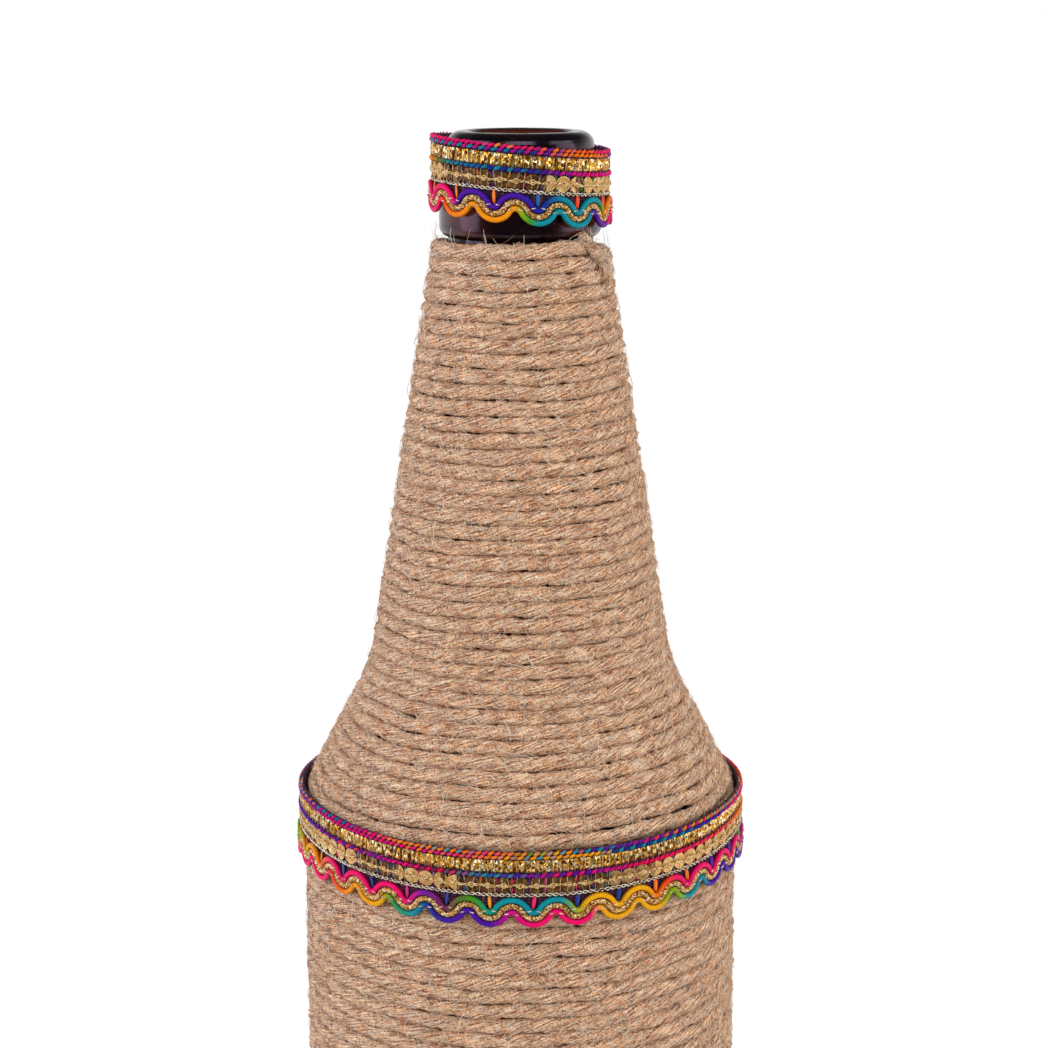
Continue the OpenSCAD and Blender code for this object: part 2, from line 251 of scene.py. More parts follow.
BODY_RADIUS = BOTTLE_HIGH.x
SHOULDER_TOP = 167.5 * MM
NECK_FOOT = (25.5 * MM, LIP_TOP - 99.2 * MM)    # radius and height
NECK_TOP = (13.1 * MM, LIP_TOP - 18.8 * MM)
FOOT_RIM = 29.4 * MM                    # inner radius of the flat ring that it stands on
HEEL_ROUND, SHOULDER_ROUND, NECK_ROUND = 4 * MM, 14 * MM, 40 * MM
TWINE_STEP = 2.75 * MM                  # from one turn to the next
TWINE_RADIUS = 1.49 * MM
TWINE_OUT = 1.32 * MM                   # from the glass to the middle of the twine
TWINE_WANDER = 0.55 * MM                # how far it strays up and down
TWINE_LIFT = 0.22 * MM                  # how far it strays in and out
TWINE_START = math.radians(-38)         # where its upper end is tucked in
TWINE_SAMPLE = 0.72 * MM                # step along the twine
PLY_LAY = 27 * MM                       # length of one twist of the three plies
PLIES = 3


def rounded_corners(corners, steps=8):
    """The outline through (radius, height, rounding) corners, with an arc at each rounded one."""
    outline = []
    for i, (r, z, rounding) in enumerate(corners):
        here = Vector((r, z))
        if not rounding:
            outline.append(here)
            continue
        back = (Vector(corners[i - 1][:2]) - here).normalized()
        ahead = (Vector(corners[i + 1][:2]) - here).normalized()
        half = back.angle(ahead) / 2
        centre = here + (back + ahead).normalized() * rounding / math.sin(half)
        start = (here + back * rounding / math.tan(half) - centre).normalized()
        end = (here + ahead * rounding / math.tan(half) - centre).normalized()
        outline += [centre + start.slerp(end, k / steps) * rounding for k in range(steps + 1)]
    return outline


class GlassSkin:
    """The outline of the glass under the twine, from the heel up, measured by length along it."""

    def __init__(self):
        self.points = rounded_corners([
            (FOOT_RIM, 0, 0), (BODY_RADIUS, 0, HEEL_ROUND),
            (BODY_RADIUS, SHOULDER_TOP, SHOULDER_ROUND), (*NECK_FOOT, NECK_ROUND), (*NECK_TOP, 0)])
        self.lengths = [0.0]
        for a, b in zip(self.points, self.points[1:]):
            self.lengths.append(self.lengths[-1] + (b - a).length)
        self.total = self.lengths[-1]

    def at(self, s):
        """The place (radius, height) and the direction of the outline at length s."""
        i = 1
        while i < len(self.lengths) - 1 and self.lengths[i] < s:
            i += 1
        a, b = self.points[i - 1], self.points[i]
        step = self.lengths[i] - self.lengths[i - 1]
        return a + (b - a) * (s - self.lengths[i - 1]) / step, (b - a) / step


skin = GlassSkin()
TWINE_TOP = skin.total - TWINE_STEP * 0.5
TWINE_FOOT = 9.5 * MM                   # both ends are lengths along the outline
TOTAL_TURNS = (TWINE_TOP - TWINE_FOOT) / TWINE_STEP


def twine_place(turn):
    """The twine's middle after this many turns down from its upper end, and the way outwards."""
    place, along = skin.at(TWINE_TOP - turn * TWINE_STEP)
    angle = TWINE_START - turn * math.tau
    ahead = Vector((math.cos(angle), math.sin(angle), 0))
    outward = ahead * along.y - Vector((0, 0, along.x))
    up = ahead * along.x + Vector((0, 0, along.y))
    spot = ahead * place.x + Vector((0, 0, place.y))
    # It strays up and down over stretches of some 14, 5 and 2 mm.
    loose = (noise.noise(spot * 70) + 0.5 * noise.noise(spot * 190 + Vector((3, 1, 7)))
             + 0.35 * noise.noise(spot * 520 + Vector((8, 2, 5))))
    lifted = noise.noise(spot * 120 + Vector((9, 4, 2)))
    return spot + up * loose * TWINE_WANDER + outward * (TWINE_OUT + lifted * TWINE_LIFT), outward


def line_mesh(name, places, outwards):
    """Places joined by edges. The way outwards goes along as an attribute."""
    mesh = bpy.data.meshes.new(name)
    mesh.from_pydata(places, [(i, i + 1) for i in range(len(places) - 1)], [])
    stored = mesh.attributes.new("outward", "FLOAT_VECTOR", "POINT")
    stored.data.foreach_set("vector", [x for way in outwards for x in way])
    return mesh


def twine_path(name, first, last):
    """The twine's middle line from one count of turns to another."""
    path = []
    turn = first
    while turn < last:
        path.append(twine_place(turn))
        reach = skin.at(TWINE_TOP - turn * TWINE_STEP)[0].x + TWINE_OUT
        turn += TWINE_SAMPLE / (math.tau * reach)
    path.append(twine_place(last))
    return line_mesh(name, *zip(*path))


def new_tree(name, **sizes):
    """Start a geometry tree. Its named inputs take these sizes as their defaults."""
    tree = bpy.data.node_groups.new(name, "GeometryNodeTree")
    tree.interface.new_socket("Geometry", in_out="INPUT", socket_type="NodeSocketGeometry")
    for label, value in sizes.items():
        kind = {int: "NodeSocketInt", float: "NodeSocketFloat"}.get(type(value), "NodeSocketMaterial")
        socket = tree.interface.new_socket(label.replace("_", " "), in_out="INPUT", socket_type=kind)
        socket.default_value = value
    tree.interface.new_socket("Geometry", in_out="OUTPUT", socket_type="NodeSocketGeometry")
    return tree, tree.nodes.new("NodeGroupInput").outputs


def end_tree(tree, geometry, finish):
    """End a geometry tree: its instances become one real mesh, in this material."""
    real = add_node(tree, "GeometryNodeRealizeInstances", {"Geometry": geometry})
    done = add_node(tree, "GeometryNodeSetMaterial", {"Geometry": real, "Material": finish})
    add_node(tree, "NodeGroupOutput", {"Geometry": done})
    return tree


def grow(name, tree, mesh, **sizes):
    """Run a geometry tree on a mesh and return the result as an object with a plain mesh."""
    seed = put_in(name, mesh)
    modifier = seed.modifiers.new("grow", "NODES")
    modifier.node_group = tree
    for item in tree.interface.items_tree:
        label = item.name.replace(" ", "_")
        if item.in_out == "INPUT" and label in sizes:
            modifier[item.identifier] = sizes[label]
    evaluated = seed.evaluated_get(bpy.context.evaluated_depsgraph_get())
    grown = bpy.data.meshes.new_from_object(evaluated)
    bpy.data.objects.remove(seed)
    return put_in(name, grown)


def jute():
    """Raw jute: coarse matt fibres, tan with pale, dark and rust-brown strands along the lay."""
    material, tree, shader = new_material("three_ply_jute_twine", Roughness=0.92,
                                          Specular_IOR_Level=0.2, Sheen_Weight=0.1,
                                          Sheen_Roughness=0.6)
    length = add_node(tree, "ShaderNodeAttribute", attribute_name="length").outputs["Fac"]
    around = add_node(tree, "ShaderNodeAttribute", attribute_name="around").outputs["Fac"]
    circumference = math.tau * TWINE_RADIUS
    girth = add_node(tree, "ShaderNodeMath", {0: around, 1: circumference}, operation="MULTIPLY")
    flat = add_node(tree, "ShaderNodeCombineXYZ", {"X": length, "Y": girth})
    laid = add_node(tree, "ShaderNodeVectorRotate",
                    {"Vector": flat, "Angle": math.atan(circumference / PLY_LAY)},
                    rotation_type="Z_AXIS")
    # A fibre in the lay shows for some 4 mm and is drawn 0.28 mm wide, three times the real width.
    fine = add_node(tree, "ShaderNodeMapping", {"Vector": laid, "Scale": (250, 3500, 1)})
    fibres = add_node(tree, "ShaderNodeTexNoise", {"Vector": fine, "Scale": 1.0, "Detail": 3.0,
                                                   "Roughness": 0.65})
    tone = add_node(tree, "ShaderNodeValToRGB", {"Fac": fibres},
                    [(0.385, "#74340f"), (0.445, "#c27b4a"), (0.5, "#ebac7a"), (0.55, "#facb9c"),
                     (0.61, "#ffe6c6")])
    # Each ply shows as a pale spindle between two darker lines: its crest is painted lighter, as
    # lit, and the lines where the plies meet are painted shade. It is clearer in some patches than
    # in others. The patches are some 9 mm long and 1.4 mm wide.
    twist = add_node(tree, "ShaderNodeMath", {0: length, 1: PLY_LAY}, operation="DIVIDE")
    phase = add_node(tree, "ShaderNodeMath", {0: around, 1: twist}, operation="SUBTRACT")
    broad = add_node(tree, "ShaderNodeMapping", {"Vector": laid, "Scale": (110, 700, 1)})
    blotch = add_node(tree, "ShaderNodeTexNoise", {"Vector": broad, "Scale": 1.0, "Detail": 2.0})
    phase = add_node(tree, "ShaderNodeMath", {0: blotch, 1: 0.35, 2: phase}, operation="MULTIPLY_ADD")
    phase = add_node(tree, "ShaderNodeMath", {0: phase, 1: PLIES * math.pi}, operation="MULTIPLY")
    wave = add_node(tree, "ShaderNodeMath", {0: phase}, operation="COSINE")
    crest = add_node(tree, "ShaderNodeMath", {0: wave}, operation="ABSOLUTE")
    ply = add_node(tree, "ShaderNodeMapRange", {"Value": crest, "From Max": 0.5, "To Min": 0.78,
                                                "To Max": 1.02})
    level = add_node(tree, "ShaderNodeMapRange", {"Value": blotch, "From Min": 0.32, "From Max": 0.68,
                                                  "To Min": 0.9, "To Max": 1.14})
    level = add_node(tree, "ShaderNodeMath", {0: level, 1: ply}, operation="MULTIPLY")
    colour = add_node(tree, "ShaderNodeVectorMath", {0: tone, "Scale": level}, operation="SCALE")
    # Grains of orange bark and of shadow between the fibres, drawn 0.28 mm across.
    place = add_node(tree, "ShaderNodeTexCoord").outputs["Object"]
    grain = add_node(tree, "ShaderNodeTexNoise", {"Vector": place, "Scale": 3600.0, "Detail": 1.0})
    for dye, first, last, most in (("#b8702f", 0.45, 0.35, 0.45), ("#46200a", 0.4, 0.33, 0.8),
                                   ("#fbe6d0", 0.6, 0.68, 0.6)):
        shown = add_node(tree, "ShaderNodeMapRange", {"Value": grain, "From Min": first,
                                                      "From Max": last, "To Max": most})
        colour = add_node(tree, "ShaderNodeMix", {"Factor": shown, "A": colour, "B": linear(dye)},
                          data_type="RGBA")
    # Loose fibres that lie across the plies one way and the other, pale, and scraps of rusty bark.
    # They show for some 2.5 mm and are drawn 0.2 mm wide.
    height = add_node(tree, "ShaderNodeMath", {0: fibres, 1: grain}, operation="ADD")
    for turned, seed, dye, first, last in ((0.85, 11, "#ffe9cf", 0.6, 0.66),
                                           (-0.75, 23, "#fbe6d0", 0.6, 0.66),
                                           (1.45, 67, "#ffeee0", 0.63, 0.68),
                                           (-0.2, 83, "#f8dcbc", 0.58, 0.65),
                                           (0.3, 37, "#a2582c", 0.62, 0.67),
                                           (-1.0, 51, "#6a4028", 0.63, 0.68)):
        across = add_node(tree, "ShaderNodeVectorRotate", {"Vector": flat, "Angle": turned},
                          rotation_type="Z_AXIS")
        drawn = add_node(tree, "ShaderNodeMapping", {"Vector": across, "Scale": (400, 5000, 1),
                                                     "Location": (seed, seed * 0.7, 0)})
        strands = add_node(tree, "ShaderNodeTexNoise", {"Vector": drawn, "Scale": 1.0, "Detail": 2.0})
        shown = add_node(tree, "ShaderNodeMapRange", {"Value": strands, "From Min": first,
                                                      "From Max": last, "To Max": 0.75})
        colour = add_node(tree, "ShaderNodeMix", {"Factor": shown, "A": colour, "B": linear(dye)},
                          data_type="RGBA")
        height = add_node(tree, "ShaderNodeMath", {0: shown, 1: 0.5, 2: height},
                          operation="MULTIPLY_ADD")
    # Painted shade where one turn meets the next: the colour is darkened where the twine faces
    # towards its neighbours, in ragged drifts some 4 mm across.
    facing = add_node(tree, "ShaderNodeAttribute", attribute_name="facing").outputs["Fac"]
    drift = add_node(tree, "ShaderNodeTexNoise", {"Vector": place, "Scale": 260.0, "Detail": 1.0})
    ragged = add_node(tree, "ShaderNodeMath", {0: grain, 1: 0.9, 2: facing}, operation="MULTIPLY_ADD")
    ragged = add_node(tree, "ShaderNodeMath", {0: drift, 1: 0.8, 2: ragged}, operation="MULTIPLY_ADD")
    slit_shade = add_node(tree, "ShaderNodeMapRange", {"Value": ragged, "From Min": 1.16, "From Max": 0.9,
                                                  "To Max": 0.65})
    colour = add_node(tree, "ShaderNodeMix", {"Factor": slit_shade, "A": colour, "B": linear("#5e260a")},
                      data_type="RGBA")
    bump = add_node(tree, "ShaderNodeBump", {"Height": height, "Strength": 1.0, "Distance": 0.38 * MM})
    join(tree, shader, {"Base Color": colour, "Normal": bump})
    return material


def wound_twine_tree(finish):
    """Sweep a round section along the path, swell it into three twisted plies and roughen it."""
    tree, given = new_tree("wound_twine", Radius=TWINE_RADIUS, Lay=PLY_LAY, Sides=10,
                           Ply_Depth=0.26 * MM, Slub=0.34 * MM, Slub_Length=1.25 * MM, Finish=finish)
    line = add_node(tree, "GeometryNodeMeshToCurve", {"Mesh": given["Geometry"]})
    upright = add_node(tree, "GeometryNodeSetCurveNormal", {"Curve": line}, mode="Z_UP")
    spline = add_node(tree, "GeometryNodeSplineParameter")
    measured = add_node(tree, "GeometryNodeStoreNamedAttribute",
                        {"Geometry": upright, "Name": "length", "Value": spline.outputs["Length"]},
                        data_type="FLOAT", domain="POINT")
    circle = add_node(tree, "GeometryNodeCurvePrimitiveCircle", {"Resolution": given["Sides"],
                                                                 "Radius": given["Radius"]})
    section = add_node(tree, "GeometryNodeStoreNamedAttribute",
                       {"Geometry": circle, "Name": "around", "Value": spline.outputs["Factor"]},
                       data_type="FLOAT", domain="POINT")
    tube = add_node(tree, "GeometryNodeCurveToMesh", {"Curve": measured, "Profile Curve": section,
                                                      "Fill Caps": True})
    along = add_node(tree, "GeometryNodeInputNamedAttribute", {"Name": "length"}, data_type="FLOAT")
    around = add_node(tree, "GeometryNodeInputNamedAttribute", {"Name": "around"}, data_type="FLOAT")
    twist = add_node(tree, "ShaderNodeMath", {0: along, 1: given["Lay"]}, operation="DIVIDE")
    phase = add_node(tree, "ShaderNodeMath", {0: around, 1: twist}, operation="SUBTRACT")
    phase = add_node(tree, "ShaderNodeMath", {0: phase, 1: PLIES * math.pi}, operation="MULTIPLY")
    wave = add_node(tree, "ShaderNodeMath", {0: phase}, operation="COSINE")
    crest = add_node(tree, "ShaderNodeMath", {0: wave}, operation="ABSOLUTE")
    ply = add_node(tree, "ShaderNodeMath", {0: crest, 1: 0.62}, operation="SUBTRACT")
    ply = add_node(tree, "ShaderNodeMath", {0: ply, 1: given["Ply Depth"]}, operation="MULTIPLY")
    spot = add_node(tree, "GeometryNodeInputPosition")
    pace = add_node(tree, "ShaderNodeMath", {0: 1.0, 1: given["Slub Length"]}, operation="DIVIDE")
    lumps = add_node(tree, "ShaderNodeTexNoise", {"Vector": spot, "Scale": pace, "Detail": 2.0})
    slub = add_node(tree, "ShaderNodeMapRange", {"Value": lumps, "From Min": 0.25, "From Max": 0.75,
                                                 "To Min": -1.0})
    slub = add_node(tree, "ShaderNodeMath", {0: slub, 1: given["Slub"], 2: ply},
                    operation="MULTIPLY_ADD")
    normal = add_node(tree, "GeometryNodeInputNormal")
    push = add_node(tree, "ShaderNodeVectorMath", {0: normal, "Scale": slub}, operation="SCALE")
    outward = add_node(tree, "GeometryNodeInputNamedAttribute", {"Name": "outward"},
                       data_type="FLOAT_VECTOR")
    facing = add_node(tree, "ShaderNodeVectorMath", {0: normal, 1: outward}, operation="DOT_PRODUCT")
    tube = add_node(tree, "GeometryNodeStoreNamedAttribute",
                    {"Geometry": tube, "Name": "facing", "Value": facing.outputs["Value"]},
                    data_type="FLOAT", domain="POINT")
    rough = add_node(tree, "GeometryNodeSetPosition", {"Geometry": tube, "Offset": push})
    smooth = add_node(tree, "GeometryNodeSetShadeSmooth", {"Geometry": rough})
    return end_tree(tree, smooth, given["Finish"])


WOUND = {
    # name: turns from the upper end where it starts and ends, and the node that it stands for.
    # The stretches meet at the back.
    "twine_on_neck": (0, 24.65, "twine_neck_winding"),
    "twine_on_shoulder": (24.65, 38.65, "twine_shoulder_winding"),
    "twine_on_body_upper": (38.65, 57.65, "twine_body_winding"),
    "twine_on_body_middle": (57.65, 77.65, "twine_body_winding"),
    "twine_on_body_lower": (77.65, TOTAL_TURNS, "twine_body_winding"),
}
JUTE = jute()
wound_twine = wound_twine_tree(JUTE)
wound_pieces = {}
for name, (first, last, node) in WOUND.items():
    piece = grow(name, wound_twine, twine_path(name, first, last), Finish=JUTE)
    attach(piece, "bottle")
    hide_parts(node)
    wound_pieces[name] = piece


# The twine's upper end: it comes out from under the collar, lies over the first turns and has
# come undone into a brush of fibres.

def twine_end_path():
    """From behind the first turn, over it and down to the third."""
    path = []
    for k in range(13):
        share = k / 12
        angle = math.radians(-46 + 20 * share)
        reach = (14.6 + 2.1 * math.sin(share * 2.2)) * MM
        drop = (18.6 + 6.6 * share ** 1.6) * MM
        ahead = Vector((math.cos(angle), math.sin(angle), 0))
        path.append((ahead * reach + Vector((0, 0, LIP_TOP - drop)), ahead))
    return line_mesh("twine_end", *zip(*path))


twine_end = grow("twine_end", wound_twine, twine_end_path(), Radius=1.25 * MM, Slub=0.5 * MM,
                 Slub_Length=1.4 * MM, Finish=JUTE)
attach(twine_end, "bottle")


# The fuzz: ends of jute fibre, 0.08 mm thick, that stand off the twine all over and lie across
# each other. Most are straw-coloured and some are rust-brown bark.

def fuzz_fibre():
    """Straw to white, at random for each fibre. The white is painted light, for light that comes
    through, as single jute fibres are translucent.
    """
    material, tree, shader = new_material("loose_jute_fibre", Roughness=0.7, Specular_IOR_Level=0.3,
                                          Sheen_Weight=0.2)
    chance = add_node(tree, "ShaderNodeAttribute", attribute_name="chance").outputs["Fac"]
    tone = add_node(tree, "ShaderNodeValToRGB", {"Fac": chance},
                    [(0.0, "#8a5a38"), (0.1, "#a86c3c"), (0.2, "#c9a07a"), (0.5, "#dfc09c"),
                     (0.8, "#efdcc4"), (1.0, "#f7e8d6")])
    join(tree, shader, {"Base Color": tone})
    return material


def fuzz_tree(finish):
    """Scatter bent fibres over the outer side of the twine, each with its own aim and length."""
    tree, given = new_tree("loose_fibres", Density=0.42e6, Shortest=0.9 * MM, Longest=4.0 * MM,
                           Lift=0.55 * MM, Thickness=0.08 * MM, Joints=4, Seed=1, Finish=finish)
    outward = add_node(tree, "GeometryNodeInputNamedAttribute", {"Name": "outward"},
                       data_type="FLOAT_VECTOR")
    normal = add_node(tree, "GeometryNodeInputNormal")
    facing = add_node(tree, "ShaderNodeVectorMath", {0: normal, 1: outward}, operation="DOT_PRODUCT")
    outer = add_node(tree, "ShaderNodeMath", {0: facing, 1: 0.25}, operation="GREATER_THAN")
    roots = add_node(tree, "GeometryNodeDistributePointsOnFaces",
                     {"Mesh": given["Geometry"], "Selection": outer, "Density": given["Density"],
                      "Seed": given["Seed"]}, distribute_method="RANDOM").outputs["Points"]

    def draw(low, high, number, kind="FLOAT"):
        seed = add_node(tree, "ShaderNodeMath", {0: given["Seed"], 1: float(number)}, operation="ADD")
        return add_node(tree, "FunctionNodeRandomValue", {"Min": low, "Max": high, "Seed": seed},
                        data_type=kind)

    cast = draw((-1, -1, -1), (1, 1, 1), 1, "FLOAT_VECTOR")
    aim = add_node(tree, "ShaderNodeVectorMath", {0: outward, 1: cast}, operation="CROSS_PRODUCT")
    aim = add_node(tree, "ShaderNodeVectorMath", {0: aim}, operation="NORMALIZE")
    side = add_node(tree, "ShaderNodeVectorMath", {0: outward, 1: aim}, operation="CROSS_PRODUCT")
    grown = draw(0.0, 1.0, 2)
    grown = add_node(tree, "ShaderNodeMath", {0: grown, 1: 2.2}, operation="POWER")
    size = add_node(tree, "ShaderNodeMapRange", {"Value": grown, "To Min": given["Shortest"],
                                                 "To Max": given["Longest"]})
    rise = draw(0.0, 1.0, 3)
    rise = add_node(tree, "ShaderNodeMath", {0: rise, 1: 2.2}, operation="POWER")
    rise = add_node(tree, "ShaderNodeMath", {0: rise, 1: given["Lift"]}, operation="MULTIPLY")
    traits = [("root", add_node(tree, "GeometryNodeInputPosition"), "FLOAT_VECTOR"),
              ("aim", aim, "FLOAT_VECTOR"), ("side", side, "FLOAT_VECTOR"),
              ("away", outward, "FLOAT_VECTOR"), ("size", size, "FLOAT"), ("rise", rise, "FLOAT"),
              ("bend", draw(-1.0, 1.0, 4), "FLOAT"), ("chance", draw(0.0, 1.0, 5), "FLOAT")]
    stored = roots
    for label, value, kind in traits:
        stored = add_node(tree, "GeometryNodeStoreNamedAttribute",
                          {"Geometry": stored, "Name": label, "Value": value}, data_type=kind,
                          domain="POINT")
    straight = add_node(tree, "GeometryNodeCurvePrimitiveLine", {"End": (0, 0, MM)})
    jointed = add_node(tree, "GeometryNodeResampleCurve", {"Curve": straight,
                                                           "Count": given["Joints"]})
    set_out = add_node(tree, "GeometryNodeInstanceOnPoints", {"Points": stored, "Instance": jointed})
    real = add_node(tree, "GeometryNodeRealizeInstances", {"Geometry": set_out})
    # Each fibre reads its own traits as it is bent. The last one, its chance, is for the material.
    own = {label: add_node(tree, "GeometryNodeInputNamedAttribute", {"Name": label}, data_type=kind)
           for label, value, kind in traits[:-1]}
    share = add_node(tree, "GeometryNodeSplineParameter").outputs["Factor"]
    run = add_node(tree, "ShaderNodeMath", {0: share, 1: own["size"]}, operation="MULTIPLY")
    swerve = add_node(tree, "ShaderNodeMath", {0: run, 1: share}, operation="MULTIPLY")
    swerve = add_node(tree, "ShaderNodeMath", {0: swerve, 1: own["bend"]}, operation="MULTIPLY")
    arch = add_node(tree, "ShaderNodeMath", {0: share, 1: 2.6}, operation="MULTIPLY")
    arch = add_node(tree, "ShaderNodeMath", {0: arch}, operation="SINE")
    arch = add_node(tree, "ShaderNodeMath", {0: arch, 1: own["rise"]}, operation="MULTIPLY")
    place = own["root"]
    for way, length in (("aim", run), ("side", swerve), ("away", arch)):
        step = add_node(tree, "ShaderNodeVectorMath", {0: own[way], "Scale": length},
                        operation="SCALE")
        place = add_node(tree, "ShaderNodeVectorMath", {0: place, 1: step}, operation="ADD")
    # None reaches through the surface that the bottle stands on.
    place = add_node(tree, "ShaderNodeVectorMath", {0: place, 1: (-1.0, -1.0, 0.1 * MM)},
                     operation="MAXIMUM")
    bent = add_node(tree, "GeometryNodeSetPosition", {"Geometry": real, "Position": place})
    radius = add_node(tree, "ShaderNodeMath", {0: given["Thickness"], 1: 0.5}, operation="MULTIPLY")
    section = add_node(tree, "GeometryNodeCurvePrimitiveCircle", {"Resolution": 3, "Radius": radius})
    fibres = add_node(tree, "GeometryNodeCurveToMesh", {"Curve": bent, "Profile Curve": section,
                                                        "Fill Caps": True})
    for label in [*own, "outward"]:
        fibres = add_node(tree, "GeometryNodeRemoveAttribute", {"Geometry": fibres, "Name": label})
    return end_tree(tree, fibres, given["Finish"])


FUZZ = fuzz_fibre()
loose_fibres = fuzz_tree(FUZZ)
for seed, (name, wound) in enumerate(wound_pieces.items()):
    fuzz = grow(name.replace("twine", "fuzz"), loose_fibres, wound.data.copy(), Seed=seed * 10,
                Finish=FUZZ)
    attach(fuzz, "bottle")
brush = grow("fuzz_on_twine_end", loose_fibres, twine_end.data.copy(), Density=5e6, Shortest=0.8 * MM,
             Longest=2.6 * MM, Lift=0.9 * MM, Seed=90, Finish=FUZZ)
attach(brush, "bottle")


# The trims: crocheted galloons glued on crooked, one round the lip and one round the shoulder. Each
# is a strip of net with its rows of stitches, foil, sequins and cords worked on. Drops are depths
# under a trim's top edge, and away is measured outwards from its back.

BAND_AWAY = 0.35 * MM                   # the net's front
BAND_BACK = 0.05 * MM
STITCH_STEP = 1.25 * MM                 # from one stitch of the galloon to the next
LOBE_STEP = 1.12 * MM                   # from one lobe of its edgings to the next
TOP_EDGING_ROWS = (0.15 * MM, 0.8 * MM)
TAPE_DROP = 2.5 * MM
TAPE_HEIGHT = 2.1 * MM
FACET_STEP = 1.9 * MM
MIDDLE_EDGING_DROP = 4.05 * MM
SEQUIN_DROP = 5.95 * MM
SEQUIN_STEP = 2.8 * MM
SILVER_DROP = 7.65 * MM
ALMOND_DROP = 9.05 * MM                 # the almonds' middles
WAVE_DROP = 10.75 * MM                  # the gold wave's middle line
TACK_SHIFT = 0.25 * MM                  # of a tack stitch from the wave's middle line
NET_HEIGHT = 10.6 * MM
NET_COLUMN = 1.5 * MM                   # width of a column of its mesh
CORD_OFFSET = 1.12 * MM                 # between the middles of two neighbouring cords
CORD_RADIUS = 0.53 * MM
CORD_AWAY = BAND_AWAY + 0.56 * MM
CORD_STEPS = 12                         # points on each half scallop
BRAID_STEPS = 26                        # the same for the gold braid
CORD_PINCH = 0.38                       # share of its thickness that a cord loses at a tack
SCALLOP_ROUND = 0.285                   # radius of a scallop's arcs as a share of their step

DYES = {
    "pink": "#f20066", "magenta": "#ce007e", "purple": "#741597", "violet": "#4b0b98",
    "indigo": "#2e1698", "navy": "#10308f", "blue": "#0060a4", "teal": "#008c9a",
    "sea green": "#00967c", "green": "#3a9212", "lime": "#84a800", "yellow": "#f0a600",
    "gold": "#f39200", "orange": "#f57400", "flame": "#f24000", "red": "#dc0c30",
    "maroon": "#7c1f48", "olive": "#5d6a2a",
}


class Trim:
    """One galloon: places on it are an angle round the bottle, a drop and a distance away. Its edge
    slopes along x and y, its scallops are turned by some degrees, and its back may sag."""

    def __init__(self, name, back, top, scallops, slope, turn, sag):
        self.name, self.back, self.top, self.scallops = name, back, top, scallops
        self.slope, self.turn, self.sag = slope, math.radians(turn), sag

    def place(self, angle, drop, away):
        """The sag grows smoothly from 30 degrees before the sides to 30 degrees behind them."""
        reach = self.back + away
        x, y = reach * math.cos(angle), reach * math.sin(angle)
        behind = min(max(math.sin(angle) + 0.5, 0), 1)
        sagged = self.sag * behind * behind * (3 - 2 * behind)
        return Vector((x, y, self.top - drop + self.slope[0] * x + self.slope[1] * y - sagged))

    def count(self, step):
        """How many such steps go round the net's front."""
        return round(math.tau * (self.back + BAND_AWAY) / step)

    def level(self, drop, away, step):
        """Places all round at one drop."""
        number = math.ceil(math.tau * (self.back + away) / step)
        return [self.place(math.tau * i / number, drop, away) for i in range(number)]

    def wave(self, offset, away, steps):
        """The scalloped line that runs parallel to the gold wave, this far above it. It is made of
        arcs that bend up and down in turn."""
        reach = self.back + away
        period = math.tau * reach / self.scallops
        radius = SCALLOP_ROUND * period
        half = math.asin(period / 4 / radius)
        line = []
        for i in range(self.scallops * 2 * steps):
            hump, part = divmod(i, steps)
            up = 1 if hump % 2 == 0 else -1
            a = half * (2 * part / steps - 1)
            run = (hump + 0.5) * period / 2 + (radius + up * offset) * math.sin(a)
            rise = up * ((radius + up * offset) * math.cos(a) - radius * math.cos(half))
            line.append(self.place(run / reach + self.turn, WAVE_DROP - rise, away))
        return line

    def pinched(self, side, steps):
        """How thick a scalloped cord is on its way: it is tacked down, and drawn thin, at each dip
        if it is the upper one (side 1) and at each crest if it is the lower one (side -1)."""
        tacked = [max(-side * math.sin(math.pi * i / steps), 0)
                  for i in range(self.scallops * 2 * steps)]
        return [1 - CORD_PINCH * share ** 6 for share in tacked]


TRIMS = [
    Trim("neck_trim", back=15.2 * MM, top=LIP_TOP - 2 * MM, scallops=13,
         slope=(-math.tan(math.radians(5)), 0), turn=11, sag=0.0),
    Trim("shoulder_trim", back=BODY_RADIUS + 2.95 * MM, top=SHOULDER_TOP + 3.1 * MM, scallops=34,
         slope=(0, math.tan(math.radians(3))), turn=0.6, sag=2.6 * MM),
]


def round_the_bottle(tree):
    """How far round the bottle a place is, seen from above: 0 and 1 at the back, 0.5 in front."""
    place = add_node(tree, "ShaderNodeTexCoord").outputs["Object"]
    split = add_node(tree, "ShaderNodeSeparateXYZ", {"Vector": place})
    forward = add_node(tree, "ShaderNodeMath", {0: split.outputs["Y"], 1: -1.0}, operation="MULTIPLY")
    angle = add_node(tree, "ShaderNodeMath", {0: split.outputs["X"], 1: forward}, operation="ARCTAN2")
    return add_node(tree, "ShaderNodeMapRange", {"Value": angle, "From Min": -math.pi,
                                                 "From Max": math.pi})


def by_degrees(dyes):
    """Dyes given by degrees from the front, as the stops of a ramp round the bottle."""
    return [((degrees + 180) / 360, DYES.get(dye, dye)) for degrees, dye in dyes]


